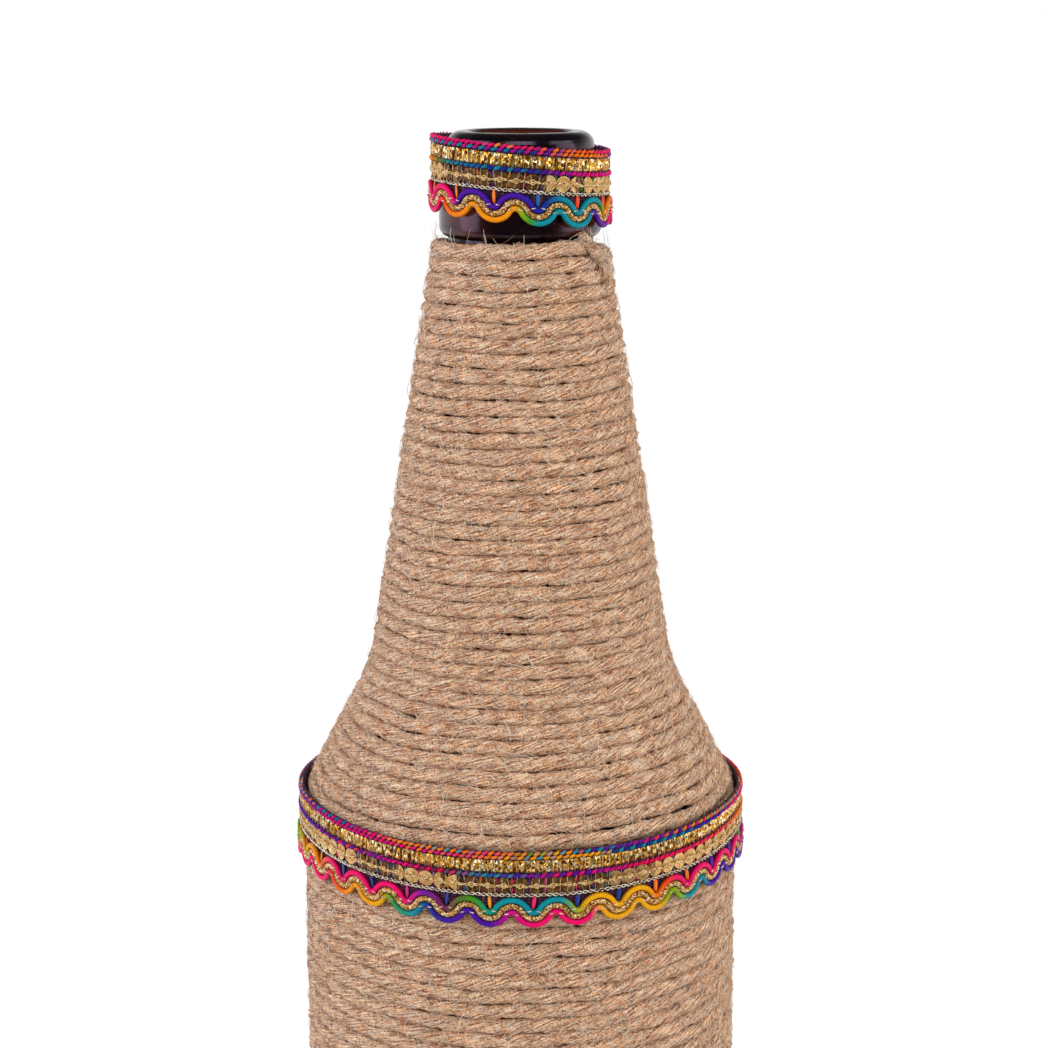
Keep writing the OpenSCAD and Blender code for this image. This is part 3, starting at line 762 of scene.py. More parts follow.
def viscose(name, dyes, second=None, ridge=0.0):
    """Space-dyed viscose: a silky thread dyed a new colour every few stitches. A second thread of
    other colours makes every other stitch. A ridge is the pitch of the thread wrapped on a cord.
    Its filaments are drawn 0.3 mm apart, so that they show."""
    material, tree, shader = new_material(name, Roughness=0.36, Specular_IOR_Level=0.1)
    where = round_the_bottle(tree)
    colour = add_node(tree, "ShaderNodeValToRGB", {"Fac": where}, by_degrees(dyes))
    if second:
        other = add_node(tree, "ShaderNodeValToRGB", {"Fac": where}, by_degrees(second))
        odd = add_node(tree, "ShaderNodeAttribute", attribute_name="odd").outputs["Fac"]
        colour = add_node(tree, "ShaderNodeMix", {"Factor": odd, "A": colour, "B": other},
                          data_type="RGBA")
    place = add_node(tree, "ShaderNodeTexCoord").outputs["Object"]
    streaks = add_node(tree, "ShaderNodeTexNoise", {"Vector": place, "Scale": 3200.0, "Detail": 2.0})
    height = add_node(tree, "ShaderNodeMapRange", {"Value": streaks, "From Min": 0.3, "From Max": 0.7})
    if ridge:
        length = add_node(tree, "ShaderNodeAttribute", attribute_name="length").outputs["Fac"]
        phase = add_node(tree, "ShaderNodeMath", {0: length, 1: math.tau / ridge},
                         operation="MULTIPLY")
        wave = add_node(tree, "ShaderNodeMath", {0: phase}, operation="SINE")
        height = add_node(tree, "ShaderNodeMath", {0: wave, 1: 0.6, 2: height},
                          operation="MULTIPLY_ADD")
    # Painted shade and light: darker in the hollows between filaments and between the wraps of a cord,
    # lighter on their crests.
    level = add_node(tree, "ShaderNodeMapRange", {"Value": height, "From Min": -0.5, "From Max": 1.4,
                                                  "To Min": 0.58, "To Max": 1.07})
    if ridge:
        # A cord is darker at its sides, where the next one shades it.
        facing = add_node(tree, "ShaderNodeAttribute", attribute_name="facing").outputs["Fac"]
        shade = add_node(tree, "ShaderNodeMapRange", {"Value": facing, "From Min": 0.1,
                                                      "From Max": 0.9, "To Min": 0.4})
        level = add_node(tree, "ShaderNodeMath", {0: level, 1: shade}, operation="MULTIPLY")
    shaded = add_node(tree, "ShaderNodeVectorMath", {0: colour, "Scale": level}, operation="SCALE")
    bump = add_node(tree, "ShaderNodeBump", {"Height": height, "Strength": 0.6, "Distance": 0.06 * MM})
    join(tree, shader, {"Base Color": shaded, "Normal": bump})
    return material


def metal_yarn(name, dark, middle, pale):
    """Yarn wrapped in a narrow strip of metallised film. Its glints and the brown where it faces
    away from the light are painted, in flecks at random. The flecks are drawn 0.4 mm long."""
    material, tree, shader = new_material(name, Metallic=0.55, Roughness=0.34)
    place = add_node(tree, "ShaderNodeTexCoord").outputs["Object"]
    flecks = add_node(tree, "ShaderNodeTexNoise", {"Vector": place, "Scale": 2600.0, "Detail": 1.0})
    tone = add_node(tree, "ShaderNodeValToRGB", {"Fac": flecks},
                    [(0.34, dark), (0.46, middle), (0.54, middle), (0.62, pale)])
    bump = add_node(tree, "ShaderNodeBump", {"Height": flecks, "Strength": 0.7, "Distance": 0.08 * MM})
    join(tree, shader, {"Base Color": tone, "Normal": bump})
    return material


def net_cloth():
    """Dark polyester net with stray ends of every dye, 0.9 mm wide, running up and down behind its
    threads."""
    material, tree, shader = new_material("dyed_polyester_net", Roughness=0.75)
    sheet = add_node(tree, "ShaderNodeUVMap", uv_map="net").outputs["UV"]
    drawn = add_node(tree, "ShaderNodeMapping", {"Vector": sheet, "Scale": (1100, 110, 1)})
    strands = add_node(tree, "ShaderNodeTexNoise", {"Vector": drawn, "Scale": 1.0, "Detail": 2.0})
    tone = add_node(tree, "ShaderNodeValToRGB", {"Fac": strands},
                    [(0.3, "#101c4c"), (0.4, "#2a0f3e"), (0.5, "#4a1238"), (0.56, DYES["maroon"]),
                     (0.62, "#0e4a5a"), (0.68, DYES["magenta"]), (0.74, DYES["orange"])])
    # Net threads every 0.6 mm both ways, with painted shade in the holes between them.
    split = add_node(tree, "ShaderNodeSeparateXYZ", {"Vector": sheet})
    threads = None
    for side in ("X", "Y"):
        phase = add_node(tree, "ShaderNodeMath", {0: split.outputs[side], 1: math.tau / (0.6 * MM)},
                         operation="MULTIPLY")
        wave = add_node(tree, "ShaderNodeMath", {0: phase}, operation="SINE")
        threads = wave if threads is None else add_node(
            tree, "ShaderNodeMath", {0: threads, 1: wave}, operation="MAXIMUM")
    level = add_node(tree, "ShaderNodeMapRange", {"Value": threads, "From Min": -0.6, "To Min": 0.2,
                                                  "To Max": 0.85})
    shaded = add_node(tree, "ShaderNodeVectorMath", {0: tone, "Scale": level}, operation="SCALE")
    bump = add_node(tree, "ShaderNodeBump", {"Height": threads, "Strength": 0.8,
                                             "Distance": 0.15 * MM})
    join(tree, shader, {"Base Color": shaded, "Normal": bump})
    return material


def net_band(trim, material):
    """The strip of net that carries the rest: a closed band 0.3 mm thick with its net laid out flat
    on the UV map, in metres."""
    drops = [NET_HEIGHT * k / 6 for k in range(7)]
    number = trim.count(NET_COLUMN)
    outline = [(drop, BAND_AWAY) for drop in drops] + [(drop, BAND_BACK) for drop in reversed(drops)]
    vertices = [trim.place(math.tau * i / number, drop, away) for i in range(number)
                for drop, away in outline]
    size = len(outline)
    faces = [(i * size + k, i * size + (k + 1) % size, (i + 1) % number * size + (k + 1) % size,
              (i + 1) % number * size + k) for i in range(number) for k in range(size)]
    mesh = bpy.data.meshes.new(trim.name + "_net")
    mesh.from_pydata(vertices, [], faces)
    laid_out = mesh.uv_layers.new(name="net")
    around = math.tau * (trim.back + BAND_AWAY)
    for face in mesh.polygons:
        column = face.index // size
        for loop in face.loop_indices:
            i, k = divmod(mesh.loops[loop].vertex_index, size)
            i = number if i == 0 and column == number - 1 else i
            laid_out.data[loop].uv = (around * i / number, outline[k][0])
    mesh.materials.append(material)
    mesh.shade_smooth()
    return put_in(mesh.name, mesh), around


def thread_mesh(name, threads, sides):
    """Round threads as one mesh. Each thread is its (place, radius) points and whether it closes."""
    vertices, faces = [], []
    for points, closed in threads:
        start, n = len(vertices), len(points)
        for i, (place, radius) in enumerate(points):
            place = Vector(place)
            before = Vector(points[i - 1][0]) if closed or i else place
            after = Vector(points[(i + 1) % n][0]) if closed or i < n - 1 else place
            along = (after - before).normalized()
            side = along.cross(Vector((1, 0, 0)))
            side = side.normalized() if side.length > 0.05 else along.cross(Vector((0, 1, 0)))
            out = side.cross(along)
            for k in range(sides):
                a = math.tau * k / sides
                vertices.append(place + radius * (out * math.cos(a) + side * math.sin(a)))
        for i in range(n if closed else n - 1):
            for k in range(sides):
                here, there = start + i * sides, start + (i + 1) % n * sides
                faces.append((here + k, here + (k + 1) % sides, there + (k + 1) % sides, there + k))
        if not closed:
            faces.append(tuple(range(start + sides - 1, start - 1, -1)))
            faces.append(tuple(range(len(vertices) - sides, len(vertices))))
    mesh = bpy.data.meshes.new(name)
    mesh.from_pydata(vertices, [], faces)
    mesh.shade_smooth()
    return mesh


def set_round_tree(finish):
    """Set a motif round the bottle on one level of a trim, each one facing outwards. Its x is
    outwards, y along the trim and z up. Lean turns it in the trim's face and tilt out of it."""
    tree, given = new_tree("set_round_the_bottle", Count=10, Reach=15 * MM, Height=0.1, Slope_X=0.0,
                           Slope_Y=0.0, Sag=0.0, Start=0.0, Lean=0.0, Tilt=0.0, Seed=1,
                           Finish=finish)
    step = add_node(tree, "ShaderNodeMath", {0: math.tau, 1: given["Count"]}, operation="DIVIDE")
    index = add_node(tree, "GeometryNodeInputIndex")
    angle = add_node(tree, "ShaderNodeMath", {0: index, 1: step, 2: given["Start"]},
                     operation="MULTIPLY_ADD")
    across = add_node(tree, "ShaderNodeMath", {0: angle}, operation="COSINE")
    deep = add_node(tree, "ShaderNodeMath", {0: angle}, operation="SINE")
    x = add_node(tree, "ShaderNodeMath", {0: across, 1: given["Reach"]}, operation="MULTIPLY")
    y = add_node(tree, "ShaderNodeMath", {0: deep, 1: given["Reach"]}, operation="MULTIPLY")
    z = add_node(tree, "ShaderNodeMath", {0: x, 1: given["Slope X"], 2: given["Height"]},
                 operation="MULTIPLY_ADD")
    z = add_node(tree, "ShaderNodeMath", {0: y, 1: given["Slope Y"], 2: z}, operation="MULTIPLY_ADD")
    sagged = add_node(tree, "ShaderNodeMapRange", {"Value": deep, "From Min": -0.5, "From Max": 0.5,
                                                   "To Max": given["Sag"]},
                      interpolation_type="SMOOTHSTEP")
    z = add_node(tree, "ShaderNodeMath", {0: z, 1: sagged}, operation="SUBTRACT")
    place = add_node(tree, "ShaderNodeCombineXYZ", {"X": x, "Y": y, "Z": z})
    points = add_node(tree, "GeometryNodeMeshLine", {"Count": given["Count"]})
    seats = add_node(tree, "GeometryNodeSetPosition", {"Geometry": points, "Position": place})
    fall = add_node(tree, "ShaderNodeMath", {0: deep, 1: given["Slope X"]}, operation="MULTIPLY")
    climb = add_node(tree, "ShaderNodeMath", {0: across, 1: given["Slope Y"]}, operation="MULTIPLY")
    climb = add_node(tree, "ShaderNodeMath", {0: climb, 1: fall}, operation="SUBTRACT")

    def draw(number, low=-1.0):
        seed = add_node(tree, "ShaderNodeMath", {0: given["Seed"], 1: float(number)}, operation="ADD")
        return add_node(tree, "FunctionNodeRandomValue", {"Min": low, "Max": 1.0, "Seed": seed},
                        data_type="FLOAT")

    lean = add_node(tree, "ShaderNodeMath", {0: draw(1), 1: given["Lean"], 2: climb},
                    operation="MULTIPLY_ADD")
    tilt = add_node(tree, "ShaderNodeMath", {0: draw(2), 1: given["Tilt"]}, operation="MULTIPLY")
    yaw = add_node(tree, "ShaderNodeMath", {0: draw(3), 1: given["Tilt"], 2: angle},
                   operation="MULTIPLY_ADD")
    turns = add_node(tree, "ShaderNodeCombineXYZ", {"X": lean, "Y": tilt, "Z": yaw})
    turned = add_node(tree, "FunctionNodeEulerToRotation", {"Euler": turns})
    seated = add_node(tree, "GeometryNodeInstanceOnPoints",
                      {"Points": seats, "Instance": given["Geometry"], "Rotation": turned})
    odd = add_node(tree, "ShaderNodeMath", {0: index, 1: 2.0}, operation="MODULO")
    for label, value in (("odd", odd), ("chance", draw(4, 0.0))):
        seated = add_node(tree, "GeometryNodeStoreNamedAttribute",
                          {"Geometry": seated, "Name": label, "Value": value}, data_type="FLOAT",
                          domain="INSTANCE")
    return end_tree(tree, seated, given["Finish"])


def laid_thread_tree(finish):
    """Sweep a round thread along closed lines and measure its length for the pattern on it. The
    attribute girth makes it thicker and thinner. Facing is how far its surface looks outwards."""
    tree, given = new_tree("laid_thread", Thickness=1.0 * MM, Sides=8, Finish=finish)
    line = add_node(tree, "GeometryNodeMeshToCurve", {"Mesh": given["Geometry"]})
    girth = add_node(tree, "GeometryNodeInputNamedAttribute", {"Name": "girth"}, data_type="FLOAT")
    line = add_node(tree, "GeometryNodeSetCurveRadius", {"Curve": line, "Radius": girth})
    line = add_node(tree, "GeometryNodeSetCurveNormal", {"Curve": line}, mode="Z_UP")
    length = add_node(tree, "GeometryNodeSplineParameter").outputs["Length"]
    line = add_node(tree, "GeometryNodeStoreNamedAttribute", {"Geometry": line, "Name": "length",
                                                              "Value": length},
                    data_type="FLOAT", domain="POINT")
    radius = add_node(tree, "ShaderNodeMath", {0: given["Thickness"], 1: 0.5}, operation="MULTIPLY")
    section = add_node(tree, "GeometryNodeCurvePrimitiveCircle", {"Resolution": given["Sides"],
                                                                  "Radius": radius})
    tube = add_node(tree, "GeometryNodeCurveToMesh", {"Curve": line, "Profile Curve": section})
    level = add_node(tree, "ShaderNodeVectorMath", {0: add_node(tree, "GeometryNodeInputPosition"),
                                                    1: (1.0, 1.0, 0.0)}, operation="MULTIPLY")
    outward = add_node(tree, "ShaderNodeVectorMath", {0: level}, operation="NORMALIZE")
    facing = add_node(tree, "ShaderNodeVectorMath", {0: add_node(tree, "GeometryNodeInputNormal"),
                                                     1: outward}, operation="DOT_PRODUCT")
    tube = add_node(tree, "GeometryNodeStoreNamedAttribute",
                    {"Geometry": tube, "Name": "facing", "Value": facing.outputs["Value"]},
                    data_type="FLOAT", domain="POINT")
    smooth = add_node(tree, "GeometryNodeSetShadeSmooth", {"Geometry": tube})
    return end_tree(tree, smooth, given["Finish"])


def loops_mesh(name, loops, girths=None):
    """Several closed lines as one mesh of edges, with how thick the thread on them is."""
    mesh = bpy.data.meshes.new(name)
    places, joins = [], []
    for loop in loops:
        start = len(places)
        joins += [(start + i, start + (i + 1) % len(loop)) for i in range(len(loop))]
        places += loop
    mesh.from_pydata(places, joins, [])
    girth = mesh.attributes.new("girth", "FLOAT", "POINT")
    girth.data.foreach_set("value", girths or [1.0] * len(places))
    return mesh


def twisted(loop, pitch, sideways, outwards, beats=1, phases=2):
    """Strands that wind along a closed line, each swaying sideways and in and out of the face."""
    steps = [(b - a).length for a, b in zip(loop, loop[1:] + loop[:1])]
    total = sum(steps)
    pitch = total / round(total / pitch)
    strands = []
    for strand in range(phases):
        line, run = [], 0.0
        for i, here in enumerate(loop):
            along = (loop[(i + 1) % len(loop)] - loop[i - 1]).normalized()
            out = Vector((here.x, here.y, 0)).normalized()
            side = along.cross(out)
            turn = math.tau * (run / pitch + strand / phases)
            line.append(here + side * sideways * math.sin(turn)
                        + out * outwards * math.cos(turn * beats))
            run += steps[i]
        strands.append(line)
    return strands


def chain_stitch(length, height, thread):
    """One lobe of chain stitch: two short plies that swell out of the cloth and dive under the
    next lobe."""
    plies = []
    for side in (-1, 1):
        line = []
        for share, rise, girth in ((-0.5, -0.08, 0.3), (-0.25, 0.16, 0.9), (0.0, 0.26, 1.0),
                                   (0.25, 0.16, 0.9), (0.5, -0.08, 0.3)):
            line.append(((rise * MM, share * length, (share * 0.9 + side * 0.22) * height),
                         girth * thread))
        plies.append((line, False))
    return thread_mesh("chain_stitch", plies, 5)


def foil_facet():
    """One pressed cell of the gold tape: upright creases with small flat facets between them, each
    with its own painted glint, and a dark groove at its ends, whose facets are painted darker."""
    draw = random.Random(5)
    columns, rows = 5, 4
    half_y, half_z = FACET_STEP * 0.5, TAPE_HEIGHT * 0.5
    vertices, faces, glints = [], [], []
    for j in range(rows + 1):
        for i in range(columns + 1):
            rim = i in (0, columns) or j in (0, rows)
            shift = (0, 0) if rim else (draw.uniform(-0.28, 0.28), draw.uniform(-0.35, 0.35))
            y = half_y * (2 * (i + shift[0]) / columns - 1)
            z = half_z * (2 * (j + shift[1]) / rows - 1)
            crease = 0.42 if i % 2 == 0 else 0.2
            height = 0.05 if i in (0, columns) else 0.16 if rim else crease + draw.uniform(-0.1, 0.1)
            vertices.append((height * MM, y, z))
    for j in range(rows):
        for i in range(columns):
            a = j * (columns + 1) + i
            b, c, d = a + 1, a + columns + 2, a + columns + 1
            faces += [(a, b, c), (a, c, d)] if draw.random() < 0.5 else [(a, b, d), (b, c, d)]
            # Painted reflections: a glint at random for each facet, darker at the cell's ends and on
            # its back and sides.
            edge = i in (0, columns - 1)
            glints += [draw.random() * (0.3 if edge else 1), draw.random() * (0.5 if edge else 1)]
    edge = list(range(columns + 1))
    edge += [j * (columns + 1) + columns for j in range(1, rows + 1)]
    edge += [rows * (columns + 1) + i for i in range(columns - 1, -1, -1)]
    edge += [j * (columns + 1) for j in range(rows - 1, 0, -1)]
    start = len(vertices)
    vertices += [(0, *vertices[i][1:]) for i in edge]
    for k in range(len(edge)):
        after = (k + 1) % len(edge)
        faces.append((edge[after], edge[k], start + k, start + after))
        glints.append(0.1)
    faces.append(tuple(start + k for k in range(len(edge) - 1, -1, -1)))
    glints.append(0.1)
    mesh = bpy.data.meshes.new("foil_facet")
    mesh.from_pydata(vertices, [], faces)
    mesh.attributes.new("glint", "FLOAT", "FACE").data.foreach_set("value", glints)
    return mesh


def sequin():
    """A cup-shaped sequin with a pressed ring and a rolled edge round its hole, spun round x."""
    # radius, height, and painted light: low for painted shade in a groove, 1 for a ridge's highlight
    outline = [(0.40, 0.04, 0.2), (0.40, 0.22, 0.4), (0.47, 0.28, 1), (0.56, 0.22, 0.9),
               (0.64, 0.13, 0.3), (0.82, 0.15, 0.8), (0.93, 0.22, 1), (1.04, 0.16, 0.3),
               (1.22, 0.18, 0.8), (1.40, 0.27, 1), (1.45, 0.2, 0.5), (1.25, 0.1, 0.2),
               (0.60, 0.04, 0.2)]
    segments, size = 20, len(outline)
    vertices = []
    for i in range(segments):
        a = math.tau * i / segments
        vertices += [(x * MM, r * MM * math.cos(a), r * MM * math.sin(a)) for r, x, _ in outline]
    faces = [(i * size + k, (i + 1) % segments * size + k, (i + 1) % segments * size + (k + 1) % size,
              i * size + (k + 1) % size) for i in range(segments) for k in range(size)]
    mesh = bpy.data.meshes.new("sequin")
    mesh.from_pydata(vertices, [], faces)
    clean = [tone for _, _, tone in outline] * segments
    mesh.attributes.new("clean", "FLOAT", "POINT").data.foreach_set("value", clean)
    mesh.shade_smooth()
    return mesh


def gold_foil():
    """Metallised polyester pressed into facets, with painted reflections: yellow and white glints
    painted between dark brown ones, by each facet's glint, with fine creases some 0.4 mm apart."""
    material, tree, shader = new_material("metallised_polyester_foil", Metallic=0.9, Roughness=0.2)
    glint = add_node(tree, "ShaderNodeAttribute", attribute_name="glint").outputs["Fac"]
    chance = add_node(tree, "ShaderNodeAttribute", attribute_name="chance").outputs["Fac"]
    mixed = add_node(tree, "ShaderNodeMath", {0: chance, 1: 7.3, 2: glint}, operation="MULTIPLY_ADD")
    drawn = add_node(tree, "ShaderNodeMath", {0: mixed}, operation="FRACT")
    place = add_node(tree, "ShaderNodeTexCoord").outputs["Object"]
    creases = add_node(tree, "ShaderNodeTexNoise", {"Vector": place, "Scale": 2600.0, "Detail": 2.0})
    drawn = add_node(tree, "ShaderNodeMath", {0: creases, 1: 0.5, 2: drawn}, operation="MULTIPLY_ADD")
    tone = add_node(tree, "ShaderNodeValToRGB", {"Fac": drawn},
                    [(0.25, "#4a2406"), (0.42, "#9a5a10"), (0.55, "#cf861a"), (0.75, "#eaa62a"),
                     (0.92, "#f6c654"), (1.0, "#fff0c0")])
    bump = add_node(tree, "ShaderNodeBump", {"Height": creases, "Strength": 0.5, "Distance": 0.1 * MM})
    join(tree, shader, {"Base Color": tone, "Normal": bump})
    return material


def sequin_film(name, stretches):
    """Metallised film sequins, with painted reflections: in some stretches painted satin gold, as
    catching the light, and in others dark amber, as reflecting the dim room in front. Both are
    clouded in patches some 1 mm across."""
    material, tree, shader = new_material(name, Metallic=0.45, Roughness=0.36)
    bright = add_node(tree, "ShaderNodeValToRGB", {"Fac": round_the_bottle(tree)},
                      by_degrees(stretches))
    bright.color_ramp.interpolation = "CONSTANT"
    place = add_node(tree, "ShaderNodeTexCoord").outputs["Object"]
    cloud = add_node(tree, "ShaderNodeTexNoise", {"Vector": place, "Scale": 900.0, "Detail": 3.0})
    satin = add_node(tree, "ShaderNodeValToRGB", {"Fac": cloud},
                     [(0.3, "#cf9a52"), (0.5, "#e6b76e"), (0.7, "#f8d79c")])
    clear = add_node(tree, "ShaderNodeValToRGB", {"Fac": cloud},
                     [(0.3, "#3a200c"), (0.5, "#68451c"), (0.7, "#9a6e34")])
    colour = add_node(tree, "ShaderNodeMix", {"Factor": bright, "A": clear, "B": satin},
                      data_type="RGBA")
    # Painted shade in the pressed grooves and painted highlights on the ridges.
    clean = add_node(tree, "ShaderNodeAttribute", attribute_name="clean").outputs["Fac"]
    level = add_node(tree, "ShaderNodeMapRange", {"Value": clean, "To Min": 0.4, "To Max": 1.15})
    shaded = add_node(tree, "ShaderNodeVectorMath", {0: colour, "Scale": level}, operation="SCALE")
    bump = add_node(tree, "ShaderNodeBump", {"Height": cloud, "Strength": 0.3, "Distance": 0.1 * MM})
    join(tree, shader, {"Base Color": shaded, "Normal": bump})
    return material


def many_dyed(name):
    """Short viscose ends, each cut from another stretch of the dyed thread. Their filaments are
    drawn 0.25 mm apart, so that they show."""
    material, tree, shader = new_material(name, Roughness=0.45, Specular_IOR_Level=0.45,
                                          Sheen_Weight=0.15)
    chance = add_node(tree, "ShaderNodeAttribute", attribute_name="chance").outputs["Fac"]
    dyes = ["orange", "violet", "teal", "magenta", "navy", "gold", "blue", "pink", "green", "flame"]
    colour = add_node(tree, "ShaderNodeValToRGB", {"Fac": chance},
                      [(i / len(dyes), DYES[dye]) for i, dye in enumerate(dyes)])
    colour.color_ramp.interpolation = "CONSTANT"
    place = add_node(tree, "ShaderNodeTexCoord").outputs["Object"]
    streaks = add_node(tree, "ShaderNodeTexNoise", {"Vector": place, "Scale": 4000.0, "Detail": 1.0})
    bump = add_node(tree, "ShaderNodeBump", {"Height": streaks, "Strength": 0.6,
                                             "Distance": 0.06 * MM})
    join(tree, shader, {"Base Color": colour, "Normal": bump})
    return material


# The dyes of each trim's threads, by degrees from the front, minus to its left.
EDGING_DYES = {
    # Two rows, each with its main dye and that of every other stitch.
    "neck_trim": [
        ([(-180, "orange"), (-80, "pink"), (5, "pink"), (22, "orange"), (48, "flame"),
          (64, "pink"), (120, "violet"), (180, "orange")],
         [(-180, "teal"), (-60, "pink"), (-25, "magenta"), (-12, "gold"), (0, "pink"), (20, "purple"),
          (45, "orange"), (60, "pink"), (180, "teal")]),
        ([(-180, "teal"), (-25, "teal"), (-5, "blue"), (8, "navy"), (18, "purple"), (35, "orange"),
          (55, "gold"), (75, "violet"), (120, "pink"), (180, "teal")],
         [(-180, "navy"), (-40, "magenta"), (-10, "purple"), (10, "magenta"), (30, "orange"),
          (60, "orange"), (120, "violet"), (180, "navy")])],
    "shoulder_trim": [
        ([(-180, "purple"), (-95, "teal"), (-75, "blue"), (-66, "violet"), (-58, "magenta"),
          (-36, "pink"), (-30, "orange"), (-4, "orange"), (3, "green"), (9, "yellow"),
          (13, "orange"), (16, "violet"), (30, "purple"), (42, "indigo"), (52, "pink"),
          (64, "orange"), (84, "orange"), (105, "pink"), (180, "purple")],
         [(-180, "teal"), (-95, "pink"), (-80, "orange"), (-66, "orange"), (-62, "teal"),
          (-48, "blue"), (-42, "magenta"), (-30, "gold"), (-16, "teal"), (-8, "pink"), (2, "gold"),
          (12, "teal"), (20, "teal"), (26, "violet"), (34, "pink"), (44, "orange"), (54, "lime"),
          (66, "teal"), (78, "purple"), (90, "orange"), (180, "teal")]),
        ([(-180, "orange"), (-90, "violet"), (-66, "purple"), (-58, "magenta"), (-34, "magenta"),
          (-26, "orange"), (-14, "pink"), (-4, "gold"), (6, "gold"), (20, "yellow"), (24, "teal"),
          (44, "teal"), (50, "indigo"), (60, "violet"), (68, "magenta"), (82, "pink"),
          (110, "orange"), (180, "orange")],
         [(-180, "gold"), (-90, "purple"), (-60, "magenta"), (-34, "pink"), (-20, "magenta"),
          (-8, "orange"), (4, "teal"), (12, "gold"), (18, "yellow"), (22, "navy"), (44, "navy"),
          (56, "indigo"), (70, "magenta"), (90, "pink"), (180, "gold")])],
}
MIDDLE_DYES = {
    "neck_trim": ([(-180, "pink"), (-110, "orange"), (-72, "gold"), (-62, "green"), (-48, "teal"),
                   (-20, "navy"), (10, "indigo"), (28, "purple"), (48, "pink"), (90, "pink"),
                   (140, "violet"), (180, "pink")],
                  [(-180, "pink"), (-90, "orange"), (-60, "olive"), (-35, "blue"), (-10, "teal"),
                   (12, "navy"), (30, "magenta"), (50, "magenta"), (140, "violet"), (180, "pink")]),
    "shoulder_trim": ([(-180, "orange"), (-100, "purple"), (-62, "purple"), (-52, "magenta"),
                       (-46, "flame"), (-38, "purple"), (-30, "pink"), (-18, "red"), (-10, "blue"),
                       (0, "violet"), (10, "pink"), (20, "magenta"), (30, "red"), (42, "pink"),
                       (55, "flame"), (66, "orange"), (85, "orange"), (130, "teal"), (180, "orange")],
                      [(-180, "gold"), (-90, "violet"), (-60, "violet"), (-44, "purple"),
                       (-34, "magenta"), (-20, "maroon"), (-8, "teal"), (4, "purple"), (16, "violet"),
                       (30, "pink"), (44, "red"), (60, "magenta"), (74, "orange"), (180, "gold")]),
}
# Painted reflections on a trim's sequins: from these degrees on they are painted wholly bright
# (white), half bright (grey) or dark, as reflecting the dim room (black).
SEQUIN_REFLECTIONS = {
    "neck_trim": [(-180, "#ffffff"), (-150, "#000000"), (-110, "#ffffff"), (-58, "#000000"),
                  (16, "#ffffff"), (37, "#000000"), (45, "#ffffff"), (180, "#ffffff")],
    "shoulder_trim": [(-180, "#000000"), (-120, "#ffffff"), (-45, "#000000"), (-31.5, "#ffffff"),
                      (-20.5, "#000000"), (-19.5, "#ffffff"), (-15.5, "#000000"),
                      (21.5, "#b0b0b0"), (35, "#ffffff"), (130, "#000000"), (180, "#000000")],
}
UPPER_DYES = {
    "neck_trim": [(-180, "teal"), (-150, "green"), (-120, "yellow"), (-95, "orange"), (-78, "pink"),
                  (-46, "pink"), (-42, "violet"), (-10, "violet"), (8, "indigo"), (16, "navy"),
                  (30, "teal"), (56, "teal"), (61, "green"), (64, "gold"), (76, "orange"),
                  (82, "pink"), (105, "pink"), (125, "violet"), (150, "navy"), (180, "teal")],
    "shoulder_trim": [(-180, "teal"), (-140, "green"), (-100, "lime"), (-80, "lime"),
                      (-68, "yellow"), (-60, "orange"), (-54, "pink"), (-29, "pink"), (-24, "purple"),
                      (-18, "maroon"), (-15, "olive"), (-11, "green"), (-7, "sea green"),
                      (-4, "teal"), (10, "teal"), (13, "lime"), (16, "yellow"), (31, "yellow"),
                      (35, "orange"), (38, "flame"), (41, "pink"), (70, "pink"), (90, "purple"),
                      (110, "violet"), (140, "navy"), (180, "teal")],
}
LOWER_DYES = {
    "neck_trim": [(-180, "violet"), (-150, "magenta"), (-120, "pink"), (-62, "pink"), (-56, "flame"),
                  (-48, "orange"), (-30, "gold"), (-3, "gold"), (1, "lime"), (6, "green"),
                  (12, "teal"), (47, "teal"), (52, "violet"), (68, "purple"), (73, "pink"),
                  (100, "pink"), (140, "orange"), (180, "violet")],
    "shoulder_trim": [(-180, "pink"), (-140, "magenta"), (-100, "purple"), (-80, "pink"),
                      (-57, "pink"), (-53, "flame"), (-46, "gold"), (-36, "yellow"), (-33, "green"),
                      (-26, "teal"), (-23, "navy"), (-16, "violet"), (-7, "violet"), (-2, "magenta"),
                      (4, "pink"), (17.5, "pink"), (19.5, "yellow"), (36, "yellow"), (38.5, "lime"),
                      (43, "lime"), (45, "teal"), (52, "teal"), (54, "violet"), (70, "violet"),
                      (90, "purple"), (130, "pink"), (180, "pink")],
}

NET = net_cloth()
FOIL = gold_foil()
GOLD_YARN = metal_yarn("gold_lurex_yarn", "#5e300c", "#cf9440", "#fff0c4")
PALE_GOLD = metal_yarn("pale_gold_lurex_thread", "#a06a30", "#e0b570", "#fae6bc")
SILVER_YARN = metal_yarn("champagne_lurex_yarn", "#6b4a34", "#e2cba8", "#fffaf0")
DYED_ENDS = many_dyed("dyed_viscose_ends")
set_round = set_round_tree(GOLD_YARN)
laid_thread = laid_thread_tree(GOLD_YARN)


def ring_of(trim, part, motif, count, drop, away, finish, **sizes):
    """A motif set round a trim, as a piece."""
    return grow(trim.name + "_" + part, set_round, motif, Count=count, Reach=trim.back + away,
                Height=trim.top - drop, Slope_X=float(trim.slope[0]), Slope_Y=float(trim.slope[1]),
                Sag=trim.sag, Finish=finish, **sizes)


